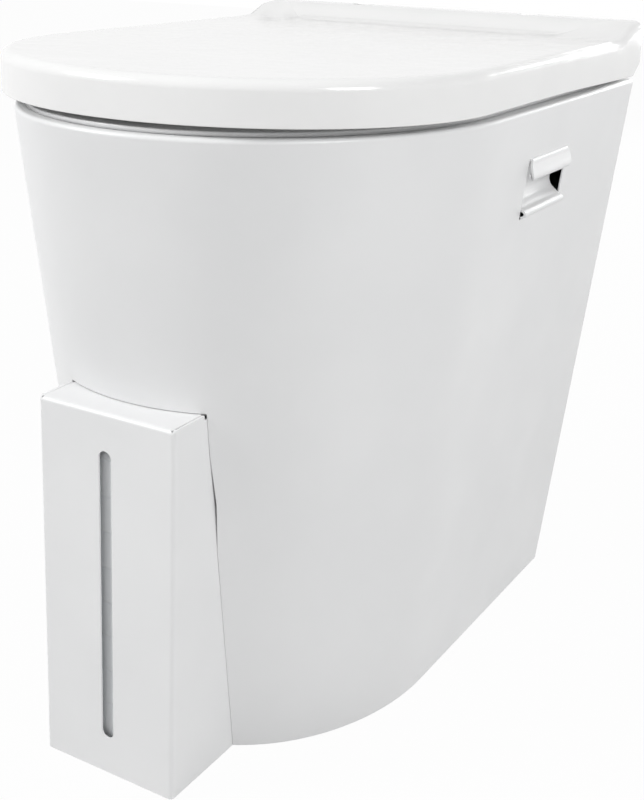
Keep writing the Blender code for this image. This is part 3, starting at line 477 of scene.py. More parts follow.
def panel_row(z):
    wide = shell_level(z)[0] - sheet - gap
    left = [(-wide, back_y - panel_flange), (-wide, back_y - bend)]
    left += [(-wide + bend - bend * cos(angle), back_y - bend + bend * sin(angle))
             for angle in bend_turns]
    shelf = shelf_half * min(1.0, wide / (shell_level(notch_z)[0] - sheet - gap))
    left += [(-wide + bend, back_y), (-shelf, back_y), (-shelf / 3, back_y)]
    return left + [(-x, y) for x, y in left[::-1]]


rings = [[(x, y, z) for x, y in panel_row(z)] for z in panel_rows]
top_xs = [x for x, y in panel_row(panel_top)]
for angle in quarter(4, 1):
    y, z = back_y - fold * (1 - cos(angle)), panel_top + fold * sin(angle)
    rings.append([(x, y, z) for x in top_xs])
for reach in (shelf_reach / 2, shelf_reach):
    rings.append([(x, back_y - reach, shell_height) for x in top_xs])
spans = len(rings[0]) - 1
open_faces = {level * spans + column for level in range(len(panel_rows) - 1, len(rings) - 1)
              for column in range(spans) if column not in shelf_columns}
back_panel = skin("rear_panel", rings, around=False, leave_out=open_faces, facing=(0, 1, 0))
thicken(back_panel, sheet)
coat(back_panel)
tell(back_panel)

# %% [markdown]
# ## The front box
# The box is folded from one flat blank. Its front bends round both upright corners into the sides,
# and its top bends back and lies between the sides, with a hairline seam left along each of them.
# Where bends meet at a corner, a small relief opening lets the metal fold without tearing. A block
# with rounded edges would lose both, so the blank's net is drawn.

# %% Front box blank
box_low, box_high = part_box("urine_box")
box_half, box_front, box_top, box_tuck = box_high.x, box_low.y, box_high.z, 0.028
side_shares, front_lines = (0.0, 0.33, 0.67), (-0.030, -0.010)
side_columns = 8


def box_rear(z):
    return back_y - shell_level(z)[1] + box_tuck


def front_setback(z):
    """How far the top bend carries the front back at a height."""
    rise = max(0.0, z - (box_top - fold))
    return fold - sqrt(max(0.0, fold * fold - rise * rise))


def box_row(z):
    back_edge = box_rear(z)
    bend_y = box_front + fold
    setback = front_setback(z)
    left = [(-box_half, back_edge + (bend_y - back_edge) * share) for share in side_shares]
    left += [(-box_half + fold - fold * cos(angle), bend_y - (fold - setback) * sin(angle))
             for angle in quarter(6)]
    left += [(x, box_front + setback) for x in front_lines]
    return left + [(-x, y) for x, y in left[::-1]]


box_rows = [0.0, 0.08, 0.16] + [box_top - fold + fold * sin(angle) for angle in quarter(5)]
rings = [[(x, y, z) for x, y in box_row(z)] for z in box_rows]
last = rings[-1]
for share in (0.2, 0.6, 1.0):
    run = (box_rear(box_top) - last[len(side_shares)][1]) * share
    rings.append([(x, y + run, z) for x, y, z in last])
spans = len(last) - 1
open_faces = {level * spans + column for level in range(len(box_rows) - 1, len(rings) - 1)
              for edge in range(side_columns) for column in (edge, spans - 1 - edge)}
front_box = skin("front_box_blank", rings, around=False, leave_out=open_faces, facing=(0, -1, 0))
thicken(front_box, sheet)
print("box faces:", len(front_box.data.polygons))

# %% [markdown]
# The sight slot is cut in the flat blank on the real part. Here it is cut last, with a cutter of
# the same outline that reaches a little past both faces, and so are the relief openings. Then all
# raw edges are rounded together, so the slot's rim catches a fine line of light, as in the photograph.

# %% Sight slot
past = 0.004
slot_half, slot_low, slot_high = 0.0049, 0.027, 0.2336
outline = arc((0.0, slot_high - slot_half), slot_half, 0, 180, 16)
outline += arc((0.0, slot_low + slot_half), slot_half, 180, 360, 16)
cut(front_box, prism("slot_cutter", outline, box_front - past, box_front + past, axis="y"))
half, depth, straight = shell_level(box_top)
shell_line = back_y - straight - (depth - straight) * sin(acos(box_half / half))
front_relief = (0.0009, 0.0024, box_front + 0.0016, 0.006)
rear_relief = (0.0022, 0.0014, shell_line + 0.0002, 0.003)
for side in (-1, 1):
    for radius, inset, y, deep in (front_relief, rear_relief):
        hole = circle(radius, (side * (box_half - inset), y), 20)
        cut(front_box, prism("relief_cutter", hole, box_top - deep, box_top + past / 2))
coat(front_box, 0.0005)
print("slot from", slot_low, "to", slot_high)

# %% [markdown]
# ## Seat and lid outlines
# Both follow the housing's D with round rear corners. Their edges are rings that step inwards and
# upwards on a quarter circle. A ring can follow the outline exactly, while a general bevel can
# pinch where the curve tightens, so the rounded edge keeps one even highlight.

# %% The D outline
hinge_y = back_y - 0.015
nose_steps, side_steps, round_steps = 96, 14, 9


def d_outline(half, reach, straight, rear, corner, inset=0.0):
    """Closed D: half ellipse in front, straight sides, straight rear edge with round corners."""
    half -= inset
    nose = reach - straight - inset
    rear_y = back_y - rear - inset
    corner -= inset
    side_end = rear_y - corner
    tangent_y = back_y - straight
    points = [(half * cos(turn), tangent_y + nose * sin(turn))
              for turn in [pi + pi * step / nose_steps for step in range(nose_steps + 1)]]
    points += [(half, tangent_y + (side_end - tangent_y) * step / side_steps)
               for step in range(1, side_steps)]
    points += arc((half - corner, side_end), corner, 0, 90, round_steps)
    points += [((half - corner) * (1 - 2 * step / side_steps), rear_y) for step in range(1, side_steps)]
    points += arc((corner - half, side_end), corner, 90, 180, round_steps)
    return points + [(-half, side_end + (tangent_y - side_end) * step / side_steps)
                     for step in range(1, side_steps)]


print("outline points:", len(d_outline(*shell_top, rear=0.0, corner=fold)))

# %% [markdown]
# ## The lid
# The lid is a thick moulded shell, open below. Its rear edge rises softly over the hinges. The
# outer skin and the inner skin are the same rings a wall apart, joined at the rim, so the wall is
# even everywhere and the underside looks right when the lid stands open.

# %% Lid skins
lid_half, lid_reach, lid_straight = 0.1684, 0.4656, 0.305
lid_rear, lid_corner = -0.009, 0.014
lid_edge, lid_rear_edge = 0.007, 0.010
lid_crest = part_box("lid")[1].z
lid_rise, rise_length = 0.0115, 0.040
lid_wall, lid_side = 0.004, 0.027
rim_drop, rim_run = 0.0025, 0.200
lid_flat = lid_crest - lid_rise
lid_bottom = lid_flat - lid_side
lid_rear_y = back_y - lid_rear
edge_steps = 12
flat_shares = (0.06, 0.12, 0.2, 0.3, 0.4, 0.5, 0.6, 0.7, 0.8, 0.9, 1.0, 1.1, 1.6)


def lid_top(y):
    return lid_flat + lid_rise * ease((y - (hinge_y - rise_length)) / rise_length)


def lid_rim(y):
    """The rim is level in front and a little lower towards the rear."""
    return lid_bottom - rim_drop * ease((y - back_y + rim_run) / rim_run)


def lid_skin(shrink):
    """Rings of one skin: the rim, the rounded edge, then the flat inside it."""
    base, stepped_in = (d_outline(lid_half, lid_reach, lid_straight, lid_rear, lid_corner, inset)
                        for inset in (0.0, gap))
    rings = [[] for ring in range(edge_steps + 2)]
    for (x, y), (near_x, near_y) in zip(base, stepped_in):
        inward = Vector((near_x - x, near_y - y)).normalized()
        rear_share = ease(-inward.y) if y > back_y - lid_straight / 2 else 0.0
        radius = lid_edge + (lid_rear_edge - lid_edge) * rear_share - shrink
        rings[0].append((x + inward.x * shrink, y + inward.y * shrink, lid_rim(y)))
        for ring, (inset, down) in zip(rings[1:], rounding(radius, edge_steps)):
            px, py = x + inward.x * (shrink + inset), y + inward.y * (shrink + inset)
            ring.append((px, py, lid_top(py) - shrink - down))
    for share in flat_shares:
        inset = lid_rear_edge + rise_length * share
        flat = d_outline(lid_half - inset, lid_reach - inset, lid_straight, lid_rear + inset,
                         lid_corner - lid_rear_edge)
        rings.append([(x, y, lid_top(y) - shrink) for x, y in flat])
    return rings


lid = skin("lid_shell", lid_skin(lid_wall)[::-1] + lid_skin(0.0), ends=True)
print("lid faces:", len(lid.data.polygons))

# %% [markdown]
# The rim is cut back at the rear, so the lid can swing past the housing's edge, and two notches
# clear the hinge brackets. These are plain cuts in a finished moulding, so they are made with
# cutters here too, and their edges are then softened like the rim.

# %% Lid rear cut and hinge notches
hinge_x, hinge_width = 0.0755, 0.010
notch_start, notch_space = hinge_y + 0.0035, 0.0015
rear_cut, rear_cut_height = 0.017, 0.015
cut_y, cut_z, rear = back_y - rear_cut, lid_bottom + rear_cut_height, lid_rear_y + past
wedge = [(cut_y, lid_bottom - 2 * past), (cut_y, lid_rim(cut_y)), (lid_rear_y, cut_z), (rear, cut_z),
         (rear, lid_bottom - 2 * past)]
cut(lid, prism("rear_cutter", wedge, -0.3, 0.3, axis="x"))
for side in (-1, 1):
    low = side * hinge_x - hinge_width / 2 - notch_space
    high = side * hinge_x + hinge_width / 2 + notch_space
    cut(lid, prism("notch_cutter", rectangle(low, notch_start, high, rear), lid_bottom, lid_crest + past))
coat(lid, 0.0006, 40)
tell(lid)

# %% [markdown]
# ## The seat
# The seat is a closed ring of the same gloss plastic. Its opening is not centred: it reaches
# further forward, over the bowl. Its rings go over the rounded outer edge, across the top and down
# into the opening, and the last ring joins the first, like a very flat tyre. Two pockets below
# take its arms.

# %% Seat ring
seat_low, seat_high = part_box("seat_ring")
seat_half, seat_reach, seat_straight = seat_high.x, 0.4575, 0.292
seat_rear, seat_corner = 0.070, 0.018
seat_edge, under_edge = 0.0075, 0.002
seat_dish = 0.0015
hole_half, hole_front, hole_rear, hole_y = 0.0995, 0.1481, 0.1182, -0.0384
arm_reach, arm_space, pocket_depth = 0.084, 0.0006, 0.0125


def seat_outline(inset):
    return d_outline(seat_half, seat_reach, seat_straight, seat_rear, seat_corner, inset)


def seat_hole(grow):
    """The opening, seen at the same angles as the points of the seat's outline."""
    points = []
    for x, y in seat_outline(0.0):
        turn = atan2(y - hole_y, x)
        half_y = (hole_front if y < hole_y else hole_rear) + grow
        reach = 1 / hypot(cos(turn) / (hole_half + grow), sin(turn) / half_y)
        points.append((reach * cos(turn), hole_y + reach * sin(turn)))
    return points


profile = [(seat_outline, under_edge, seat_low.z), (seat_outline, 0.0, seat_low.z + under_edge)]
profile += [(seat_outline, inset, seat_high.z - down) for inset, down in rounding(seat_edge, 8)]
profile += [(seat_hole, inset, seat_high.z - seat_dish - down)
            for inset, down in rounding(seat_edge, 8)[::-1]]
profile += [(seat_hole, 0.0, seat_low.z + under_edge), (seat_hole, under_edge, seat_low.z)]
seat = skin("seat_board", [[(x, y, z) for x, y in shape(inset)] for shape, inset, z in profile], closed=True)
for side in (-1, 1):
    middle = side * (hinge_x - hinge_width - arm_space)
    pocket = rectangle(middle - hinge_width / 2 - gap, hinge_y - arm_reach - gap,
                       middle + hinge_width / 2 + gap, back_y)
    cut(seat, prism("pocket_cutter", pocket, seat_low.z - past, seat_low.z + pocket_depth + 2 * gap))
join_flats(seat.data, seat.data, 2e-6, underside=True)
coat(seat, 0.0005, 40)
tell(seat)

# %% [markdown]
# ## Finger grips
# Each side wall has a window with a bent strip in it: a rounded lip below, a hollow for the
# fingertips, and a hood that leans out over it and ends in a rolled hem. It is one strip of sheet,
# so it is drawn as one curve, made smooth with a Catmull-Rom spline and drawn out along the wall.
# The hood's corners are round, which only needs its last points to end a little sooner.

# %% Grip strips
grip_proud, grip_depth = 0.0063, 0.0100
hood_corner, hood_low, hood_high, front_share = 0.0042, 0.65, 0.95, 0.6
along_shares = (0.0, 0.03, 0.08, 0.25, 0.5, 0.75, 0.92, 0.97, 1.0)
grip_shares = [(0.06, 0.030), (0.42, 0.050), (0.50, 0.095), (0.28, 0.130), (-0.06, 0.155), (-0.34, 0.200),
               (-0.74, 0.275), (-0.97, 0.380), (-1.00, 0.520), (-0.97, 0.700), (-0.70, 0.870), (-0.22, 0.950),
               (0.12, 0.955), (0.26, 0.885), (0.46, 0.790), (0.64, 0.710), (0.65, 0.675), (0.50, 0.650),
               (0.32, 0.672), (0.30, 0.740)]


def curve_through(points, steps):
    """Catmull-Rom curve through points of any number of coordinates."""
    curve = []
    for index in range(len(points) - 1):
        near = [points[min(max(index + step, 0), len(points) - 1)] for step in (-1, 0, 1, 2)]
        for step in range(steps):
            t = step / steps
            curve.append(tuple(0.5 * (2 * b + (c - a) * t + (2 * a - 5 * b + 4 * c - d) * t * t
                                      + (3 * b - a - 3 * c + d) * t ** 3) for a, b, c, d in zip(*near)))
    return curve + [tuple(points[-1])]


def corner_cut(up_share, out_share, height):
    """How much sooner the hood ends near its upper and lower edge."""
    if out_share < 0.1 or up_share < 0.5:
        return 0.0
    inside = max(0.0, min(hood_high - up_share, up_share - hood_low) * height)
    missing = max(0.0, hood_corner - inside)
    return hood_corner - sqrt(hood_corner ** 2 - missing ** 2)


grips = {}
for word, side in (("left", -1), ("right", 1)):
    height = grip_high - grip_low
    rings = []
    for share in along_shares:
        ring = []
        for out_share, up_share in curve_through(grip_shares, 6):
            z = grip_low + up_share * height
            out = out_share * (grip_proud if out_share > 0 else grip_depth)
            sooner = corner_cut(up_share, out_share, height)
            front = back_y - grip_ys[1] + gap + sooner * front_share
            rear = back_y - grip_ys[0] - gap - sooner
            ring.append((side * (shell_level(z)[0] + out), front + (rear - front) * share, z))
        rings.append(ring)
    grip = skin("finger_grip_" + word, rings, around=False, facing=(side, 0, 0.2))
    thicken(grip, sheet, side=0)
    grips[word] = coat(grip, 0.0004, 50)
tell(grips["right"])

# %% [markdown]
# ## The diverter insert
# A thin moulding lies on the housing's flange under the seat. Its bowl has two hollows: a shallow
# basin in front that drains into the canister, and a wide chute behind it over the bucket. It could
# be cut out of a block, but then each inner edge would be sharp. Here one skin runs from the rim
# over every edge on a small arc, and only the flat floor between the hollows is filled by triangles.

# %% Rim, bowl wall and the ovals
insert_low, insert_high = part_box("diverter_insert")
insert_top = insert_high.z
insert_rim, insert_lip, insert_step, insert_wall = 0.0008, 0.0045, 0.0014, 0.003
rim_inset, rim_corner = 0.007, 0.010
bowl_half, bowl_long, bowl_y, fullness = 0.1035, 0.154, -0.0267, 2.5
bowl_depth, basin_depth = 0.034, 0.0915
bowl_floor, basin_floor = insert_top - bowl_depth, insert_top - basin_depth
bowl_taper, mouth_round, floor_round, hollow_round = 0.006, 0.004, 0.0025, 0.002


def oval(half_x, half_y, centre, power, turns):
    """Full oval round (0, centre), with one point in each given direction."""
    points = []
    for turn in turns:
        across, along = cos(turn), sin(turn)
        reach = ((abs(across) / half_x) ** power + (abs(along) / half_y) ** power) ** (-1 / power)
        points.append((reach * across, centre + reach * along))
    return points


def rim_outline(inset):
    half, depth, straight = shell_level(shell_height)
    return d_outline(half - rim_inset, depth - rim_inset, straight, rim_inset, rim_corner, inset)


bowl_turns = [atan2(y - bowl_y, x) for x, y in rim_outline(0.0)]


def bowl_ring(grow):
    return oval(bowl_half + grow, bowl_long + grow, bowl_y, fullness, bowl_turns)


lip_top = insert_top - insert_step
levels = [(rim_outline(0.0), shell_height + gap), (rim_outline(0.0), lip_top - insert_rim)]
levels += [(rim_outline(inset), lip_top - down) for inset, down in rounding(insert_rim, 4, 1)]
levels += [(rim_outline(insert_lip), lip_top), (rim_outline(insert_lip + insert_rim), insert_top)]
levels += [(bowl_ring(grow), insert_top - down) for down, grow in rounding(mouth_round, 6)]
wall_high, wall_low = insert_top - mouth_round, bowl_floor + floor_round
levels += [(bowl_ring(-bowl_taper * share), wall_high + (wall_low - wall_high) * share)
           for share in (0.33, 0.67, 1.0)]
levels += [(bowl_ring(-bowl_taper - floor_round * (1 - cos(turn))),
            wall_low - floor_round * sin(turn)) for turn in quarter(4, 1)]
bowl_rings = [[(x, y, z) for x, y in ring] for ring, z in levels]
print("bowl rings:", len(bowl_rings), "points round:", len(bowl_turns))

# %% [markdown]
# Each hollow is a stack of ovals that shrink and wander towards its outlet: the basin falls to the
# round drain hole, the chute to a round spigot over the bucket. Where a hollow would run out
# through the bowl's wall, its points are drawn back to the floor's edge.

# %% Basin and chute
drain_y, drain_radius = -0.1081, 0.0143
basin_mouth, basin_foot = (0.0885, 0.0671, -0.1026), (0.0364, 0.0270, drain_y)
drain, chute_foot = (0.0, drain_y), insert_low.z
floor_half, floor_long = bowl_half - bowl_taper - floor_round, bowl_long - bowl_taper - floor_round
floor_space, hollow_steps = 0.0005, 112
hollow_turns = [2 * pi * (step + 0.5) / hollow_steps for step in range(hollow_steps)]


def kept_in(points, centre, space):
    """Draw points that lie outside the bowl's floor back towards the hollow's centre."""
    kept = []
    for x, y in points:
        low, high = 0.0, 1.0
        for step in range(24):
            share = (low + high) / 2 if step else 1.0
            px, py = x * share, centre + (y - centre) * share
            across = abs(px) / (floor_half - space)
            along = abs(py - bowl_y) / (floor_long - space)
            if across ** fullness + along ** fullness <= 1:
                low = share
                if share == 1.0:
                    break
            else:
                high = share
        kept.append((x * low, centre + (y - centre) * low))
    return kept


def hollow(path):
    """Rings of a hollow; its path goes down in (z, half width, half length, centre, fullness)."""
    z, half_x, half_y, centre, power = path[0]
    rings = []
    for down, grow in rounding(hollow_round, 4):
        ring = oval(half_x + grow, half_y + grow, centre, power, hollow_turns)
        ring = kept_in(ring, centre, floor_space + hollow_round - grow)
        rings.append([(x, y, z - down) for x, y in ring])
    for z, half_x, half_y, centre, power in curve_through(path, 5)[1:]:
        if z < bowl_floor - hollow_round - 2 * floor_space:
            ring = oval(half_x, half_y, centre, power, hollow_turns)
            rings.append([(x, y, z) for x, y in kept_in(ring, centre, floor_space + hollow_round)])
    return rings


basin_path = []
for fall, slope in ((0.0, 1.0), (0.2, 0.95), (0.4, 0.86), (0.65, 0.67), (0.85, 0.37), (0.96, 0.12),
                    (1.0, 0.0)):
    half_x, half_y = (foot + (mouth - foot) * slope for mouth, foot in zip(basin_mouth[:2], basin_foot))
    centre = basin_mouth[2] + (basin_foot[2] - basin_mouth[2]) * fall
    basin_path.append((bowl_floor + (basin_floor - bowl_floor) * fall, half_x, half_y, centre, fullness))
chute_path = [(bowl_floor, 0.0885, 0.0689, 0.0474, 2.5), (bowl_floor - 0.03, 0.0862, 0.0698, 0.0535, 2.4),
              (bowl_floor - 0.065, 0.0810, 0.0712, 0.0622, 2.25),
              (bowl_floor - 0.10, 0.0762, 0.0728, 0.0714, 2.1),
              (chute_foot + 0.012, 0.0737, 0.0735, 0.0765, 2.0), (chute_foot, 0.0735, 0.0735, 0.0770, 2.0)]
drain_ring = [(x, y, basin_floor) for x, y in oval(drain_radius, drain_radius, drain_y, 2.0, hollow_turns)]
basin_rings, chute_rings = hollow(basin_path) + [drain_ring], hollow(chute_path)
print("basin rings:", len(basin_rings), "chute rings:", len(chute_rings))

# %% [markdown]
# The three stacks are joined into one mesh by the flat floor: the bowl's last ring outside and the
# two mouths as holes. A triangle fill is the quickest way to close such a flat shape with holes.

# %% Join the insert
verts, faces = [], []
for rings in (bowl_rings, basin_rings, chute_rings):
    start = len(verts)
    verts += [point for ring in rings for point in ring]
    faces += [tuple(start + index for index in face) for face in ring_faces(rings)]
mesh = bpy.data.meshes.new("insert")
mesh.from_pydata(verts, [], faces)
built = bmesh.new()
built.from_mesh(mesh)
bmesh.ops.remove_doubles(built, verts=built.verts, dist=1e-6)
rim = [edge for edge in built.edges if edge.is_boundary
       and all(abs(point.co.z - bowl_floor) < 1e-5 for point in edge.verts)]
bmesh.ops.triangle_fill(built, edges=rim, use_beauty=True, normal=(0, 0, 1))
bmesh.ops.recalc_face_normals(built, faces=built.faces)
if sum((face.normal.z * face.calc_area() for face in built.faces)) < 0:
    bmesh.ops.reverse_faces(built, faces=built.faces)
built.to_mesh(mesh)
built.free()
insert = place("insert_moulding", mesh)
thicken(insert, insert_wall)
coat(insert, 0.0)
tell(insert)

# %% [markdown]
# ## Canister and cap
# The canister is blow moulded: every edge is widely rounded, and its neck and handle grow out of the
# same wall. A bevelled block gives those edges at once, and the neck, handle and hollow are then
# added and cut. Its level marks are too fine for that and are left to its finish.

# %% Canister
can_low, can_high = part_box("urine_canister")
can_half, can_front, can_rear = can_high.x, can_low.y, can_high.y
can_wall, can_round = 0.002, 0.011
handle_height, handle_bar = 0.026, 0.008
neck_radius, neck_height, neck_space = 0.0215, 0.014, 0.027
can_top = can_high.z - handle_height
neck_top = can_top + neck_height
handle_y = (drain_y + neck_space + can_rear) / 2
handle_half, handle_side, handle_round = 0.038, 0.006, 0.0035
finger_half, finger_side, finger_round = 0.030, 0.012, 0.004


def soft_block(name, low, high, radius, segments):
    """A block between two corners, with round edges."""
    return round_edges(prism(name, rectangle(*low[:2], *high[:2]), low[2], high[2]), radius, segments)


canister = soft_block("canister_body", (-can_half, can_front, can_low.z), (can_half, can_rear, can_top),
                      can_round, 8)
neck = prism("neck", circle(neck_radius, drain, 64), can_top - 0.001, neck_top)
handle = soft_block("handle", (-handle_half, handle_y - handle_side, can_top - handle_side),
                    (handle_half, handle_y + handle_side, can_high.z), handle_round, 4)
cut(canister, neck, handle, operation="UNION")
inside = soft_block("inside", (can_wall - can_half, can_front + can_wall, can_low.z + can_wall),
                    (can_half - can_wall, can_rear - can_wall, can_top - can_wall), can_round - can_wall, 8)
finger_gap = soft_block("finger_gap", (-finger_half, handle_y - finger_side, can_top + 2 * gap),
                        (finger_half, handle_y + finger_side, can_high.z - handle_bar), finger_round, 4)
mouth = prism("mouth", circle(neck_radius - can_wall, drain, 64), can_top - past, neck_top + past)
cut(canister, finger_gap, inside, mouth)
coat(canister, 0.0005, 50)
tell(canister)

# %% [markdown]
# The cap is a turned piece. Its outline is given level by level: the skirt's foot, the shoulder on
# the neck, the funnel's rim, and back down inside. A ripple on the skirt gives the ribs for grip.

# %% Cap
cap_low, cap_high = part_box("canister_cap")
cap_seat = neck_top + gap
profile = lifted([(0.0221, 0.0005), (0.0226, 0.0), (0.0261, 0.0), (0.0266, 0.0005, 1), (0.0266, 0.003, 1)],
                 cap_low.z)
profile += lifted([(0.0266, 0.0006, 1), (0.0262, 0.0015, 1), (0.0252, 0.002), (0.0212, 0.002),
                   (0.0205, 0.0026)], cap_seat)
profile += lifted([(0.0223, -0.0005), (0.0220, 0.0), (0.0212, 0.0), (0.0206, -0.0006)], cap_high.z)
profile += lifted([(0.0186, 0.0006), (0.0188, 0.0), (0.0221, 0.0)], cap_seat)
cap = coat(turned("ribbed_cap", profile, 0.0, drain_y, steps=216, ripple=0.0004, ripples=36), 0.0, 50)
tell(cap)

# %% [markdown]
# ## Bucket and its ring
# The bucket tapers, so that it lifts out easily, and its rim is rolled outwards for stiffness. Both
# are turned pieces: one closed profile is drawn once and swept round the middle line.

# %% Bucket
bucket_low, bucket_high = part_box("solids_bucket")
bucket_y = (bucket_low.y + bucket_high.y) / 2
rim_out, rim_roll = bucket_high.x, 0.003
foot_out, bucket_spread, bucket_wall = 0.0975, 0.013, 0.0025
foot_z, rim_z = bucket_low.z, bucket_high.z
bead_low, bead_high, bead_proud = 0.2366, 0.2404, 0.0012


def bucket_side(z, inwards=0.0):
    return foot_out + bucket_spread * (z - foot_z) / (rim_z - foot_z) - inwards


profile = lifted([(foot_out - 0.010, 0.0), (foot_out - 0.003, 0.0003), (foot_out - 0.0008, 0.0018)], foot_z)
profile += [(bucket_side(z), z) for z in (foot_z + 0.005, 0.06, 0.12, 0.18, 0.236, bead_low)]
profile += [(bucket_side(bead_low) + bead_proud, 0.2374), (bucket_side(0.24) + bead_proud, 0.2396)]
profile += [(bucket_side(z), z) for z in (bead_high, 0.262, rim_z - 0.012)]
profile += arc((rim_out - rim_roll, rim_z - 0.0065), rim_roll, -90, 0, 5)
profile += arc((rim_out - rim_roll, rim_z - rim_roll), rim_roll, 0, 90, 5)
profile += arc((rim_out - 0.0055, rim_z - rim_roll), rim_roll, 90, 180, 5)
profile += [(bucket_side(z, bucket_wall), z) for z in (rim_z - 0.012, 0.24, 0.18, 0.12, 0.06, foot_z + 0.009)]
profile += lifted([(foot_out - 0.0045, 0.0045), (foot_out - 0.009, 0.0028), (0.0005, 0.0025),
                   (0.0005, 0.0006)], foot_z)
bucket = coat(turned("bucket_body", profile, 0.0, bucket_y, steps=128), 0.0, 50)
ring_low, ring_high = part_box("bucket_locator")
profile = lifted([(-0.0088, 0.0), (-0.0003, 0.0), (0.0, 0.0004), (0.0, 0.0014), (-0.0006, 0.002),
                  (-0.0060, 0.002), (-0.0070, 0.003)], ring_low.z)
profile += lifted([(-0.0070, -0.0006), (-0.0074, 0.0), (-0.0086, 0.0), (-0.0090, -0.0006)], ring_high.z)
profile += lifted([(-0.0090, 0.0004)], ring_low.z)
profile = [(ring_high.x + outwards, z) for outwards, z in profile]
ring = coat(turned("locating_ring", profile, 0.0, bucket_y, steps=128), 0.0, 50)
tell(bucket)

# %% [markdown]
# ## Drain
# A flanged spout hangs from the basin and is held by a nut below. The strainer over it is a disc,
# with one hole in the middle and two rings of holes round it, cut one by one as a drill would.

# %% Drain spout, nut and strainer
spout_low, spout_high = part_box("drain_spout")
profile = lifted([(0.0123, 0.0), (0.0137, 0.0), (0.0140, 0.0004)], spout_low.z)
profile += lifted([(0.0140, -0.002), (0.0207, -0.002), (0.0210, -0.0016), (0.0210, -0.0005), (0.0204, 0.0),
                   (0.0126, 0.0), (0.0120, -0.0006)], spout_high.z)
profile += lifted([(0.0120, 0.0004)], spout_low.z)
spout = coat(turned("spout", profile, 0.0, drain_y), 0.0, 50)
nut = softened("drain_nut", 0.0006)
strainer_low, strainer_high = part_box("basin_strainer")
strainer = prism("strainer", circle(strainer_high.x, drain, 64), strainer_low.z, strainer_high.z)
hole_radius, inner_row, outer_row = 0.0016, 0.0085, 0.0150
holes = [drain] + circle(inner_row, drain, 6) + circle(outer_row, drain, 12)
for hole in holes:
    cut(strainer, prism("hole", circle(hole_radius, hole, 16), strainer_low.z - past / 2,
                        strainer_high.z + past / 2))
coat(strainer, 0.0003, 50)
print("strainer holes:", len(holes))

# %% [markdown]
# ## Screws
# Pan head screws hold the insert, the seat arms and the lid arms. The head is a turned dome with a
# cross recess, which is what catches the light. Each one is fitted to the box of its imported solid,
# so nothing is measured twice.

# %% Pan head screws
shank, centre_hole = 0.0019, 0.0002
recess_long, recess_wide, recess_depth = 0.0042, 0.0009, 0.0009


def pan_screw(node, head_up):
    low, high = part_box(node)
    x, y = (low.x + high.x) / 2, (low.y + high.y) / 2
    head = (high.x - low.x) / 2
    sign = -1 if head_up else 1
    top, length = high.z if head_up else low.z, high.z - low.z
    profile = [(centre_hole, 0.0), (head * 0.45, 0.0001), (head * 0.75, 0.0003), (head * 0.93, 0.0007),
               (head, 0.0012), (head, 0.0016), (shank, 0.0016), (shank, length - 0.0012), (0.0012, length),
               (centre_hole, length)]
    screw = turned(node + "_pan", [(radius, top + sign * down) for radius, down in profile], x, y, steps=32)
    for wide, deep in ((recess_long, recess_wide), (recess_wide, recess_long)):
        outline = rectangle(x - wide / 2, y - deep / 2, x + wide / 2, y + deep / 2)
        cut(screw, prism("recess", outline, *sorted((top - sign * 0.001, top + sign * recess_depth))))
    return coat(screw, 0.0, 50)


screws = {node: pan_screw(node, node.startswith("insert")) for node in sorted(frame["nodes"])
          if "_screw_" in node}
print("screws:", len(screws))

# %% [markdown]
# ## Hinge hardware, feet and bumpers
# The brackets, arms, bolts, wing nuts and rubber pads are already right in shape. They only have
# knife edges, which no moulded or turned part has, so each gets a copy with a small round on it,
# sized to how it is made: more for moulded plastic and rubber, least for a washer.

# %% Softened solids
edge_rounds = {"hinge_bracket": 0.0009, "seat_arm": 0.0009, "lid_arm": 0.0009, "hinge_pin": 0.0005,
               "bracket_bolt": 0.0005, "bracket_washer": 0.0002, "bracket_wing_nut": 0.0007,
               "foot_pad": 0.0009, "seat_bumper": 0.0007, "lid_bumper": 0.0007, "base_plate": 0.0003,
               "canister_stop": 0.0003}
hardware = {node: softened(node, radius) for node in sorted(frame["nodes"]) if node not in screws
            for start, radius in edge_rounds.items() if node.startswith(start)}
print("softened solids:", len(hardware))

# %% [markdown]
# ## Finishes
# None of these surfaces is one flat colour. Powder coat has a fine orange peel, moulded gloss has a
# slow waviness, rubber has a dull grain, and brushed steel has lines. All of it comes from noise in
# the object's own coordinates, so it stays put from every side. One helper lays down the colour,
# the uneven gloss and the grain, and each finish below only gives its own numbers.

# %% Finish tools
noise_span = (0.3, 0.7)


def noise(tree, scale, detail=2.0, stretch=(1.0, 1.0, 1.0)):
    """Noise with about that many blots to the metre, drawn out along an axis by stretch."""
    where = add(tree, "TexCoord", {}).outputs["Object"]
    where = add(tree, "Mapping", {"Vector": where, "Scale": stretch}).outputs[0]
    return add(tree, "TexNoise", {"Vector": where, "Scale": scale, "Detail": detail}).outputs[0]


def between(tree, value, low, high):
    """Spread noise, which stays near one half, over a range."""
    return add(tree, "MapRange", {"Value": value, "From Min": noise_span[0], "From Max": noise_span[1],
                                  "To Min": low, "To Max": high}, interpolation_type="SMOOTHSTEP").outputs[0]


def tint(tree, value, dark, light):
    ramp = add(tree, "ValToRGB", {0: value})
    ramp.color_ramp.interpolation = "EASE"
    for stop, level, colour in zip(ramp.color_ramp.elements, noise_span, (dark, light)):
        stop.position = level
        stop.color = (*colour, 1.0)
    return ramp.outputs[0]


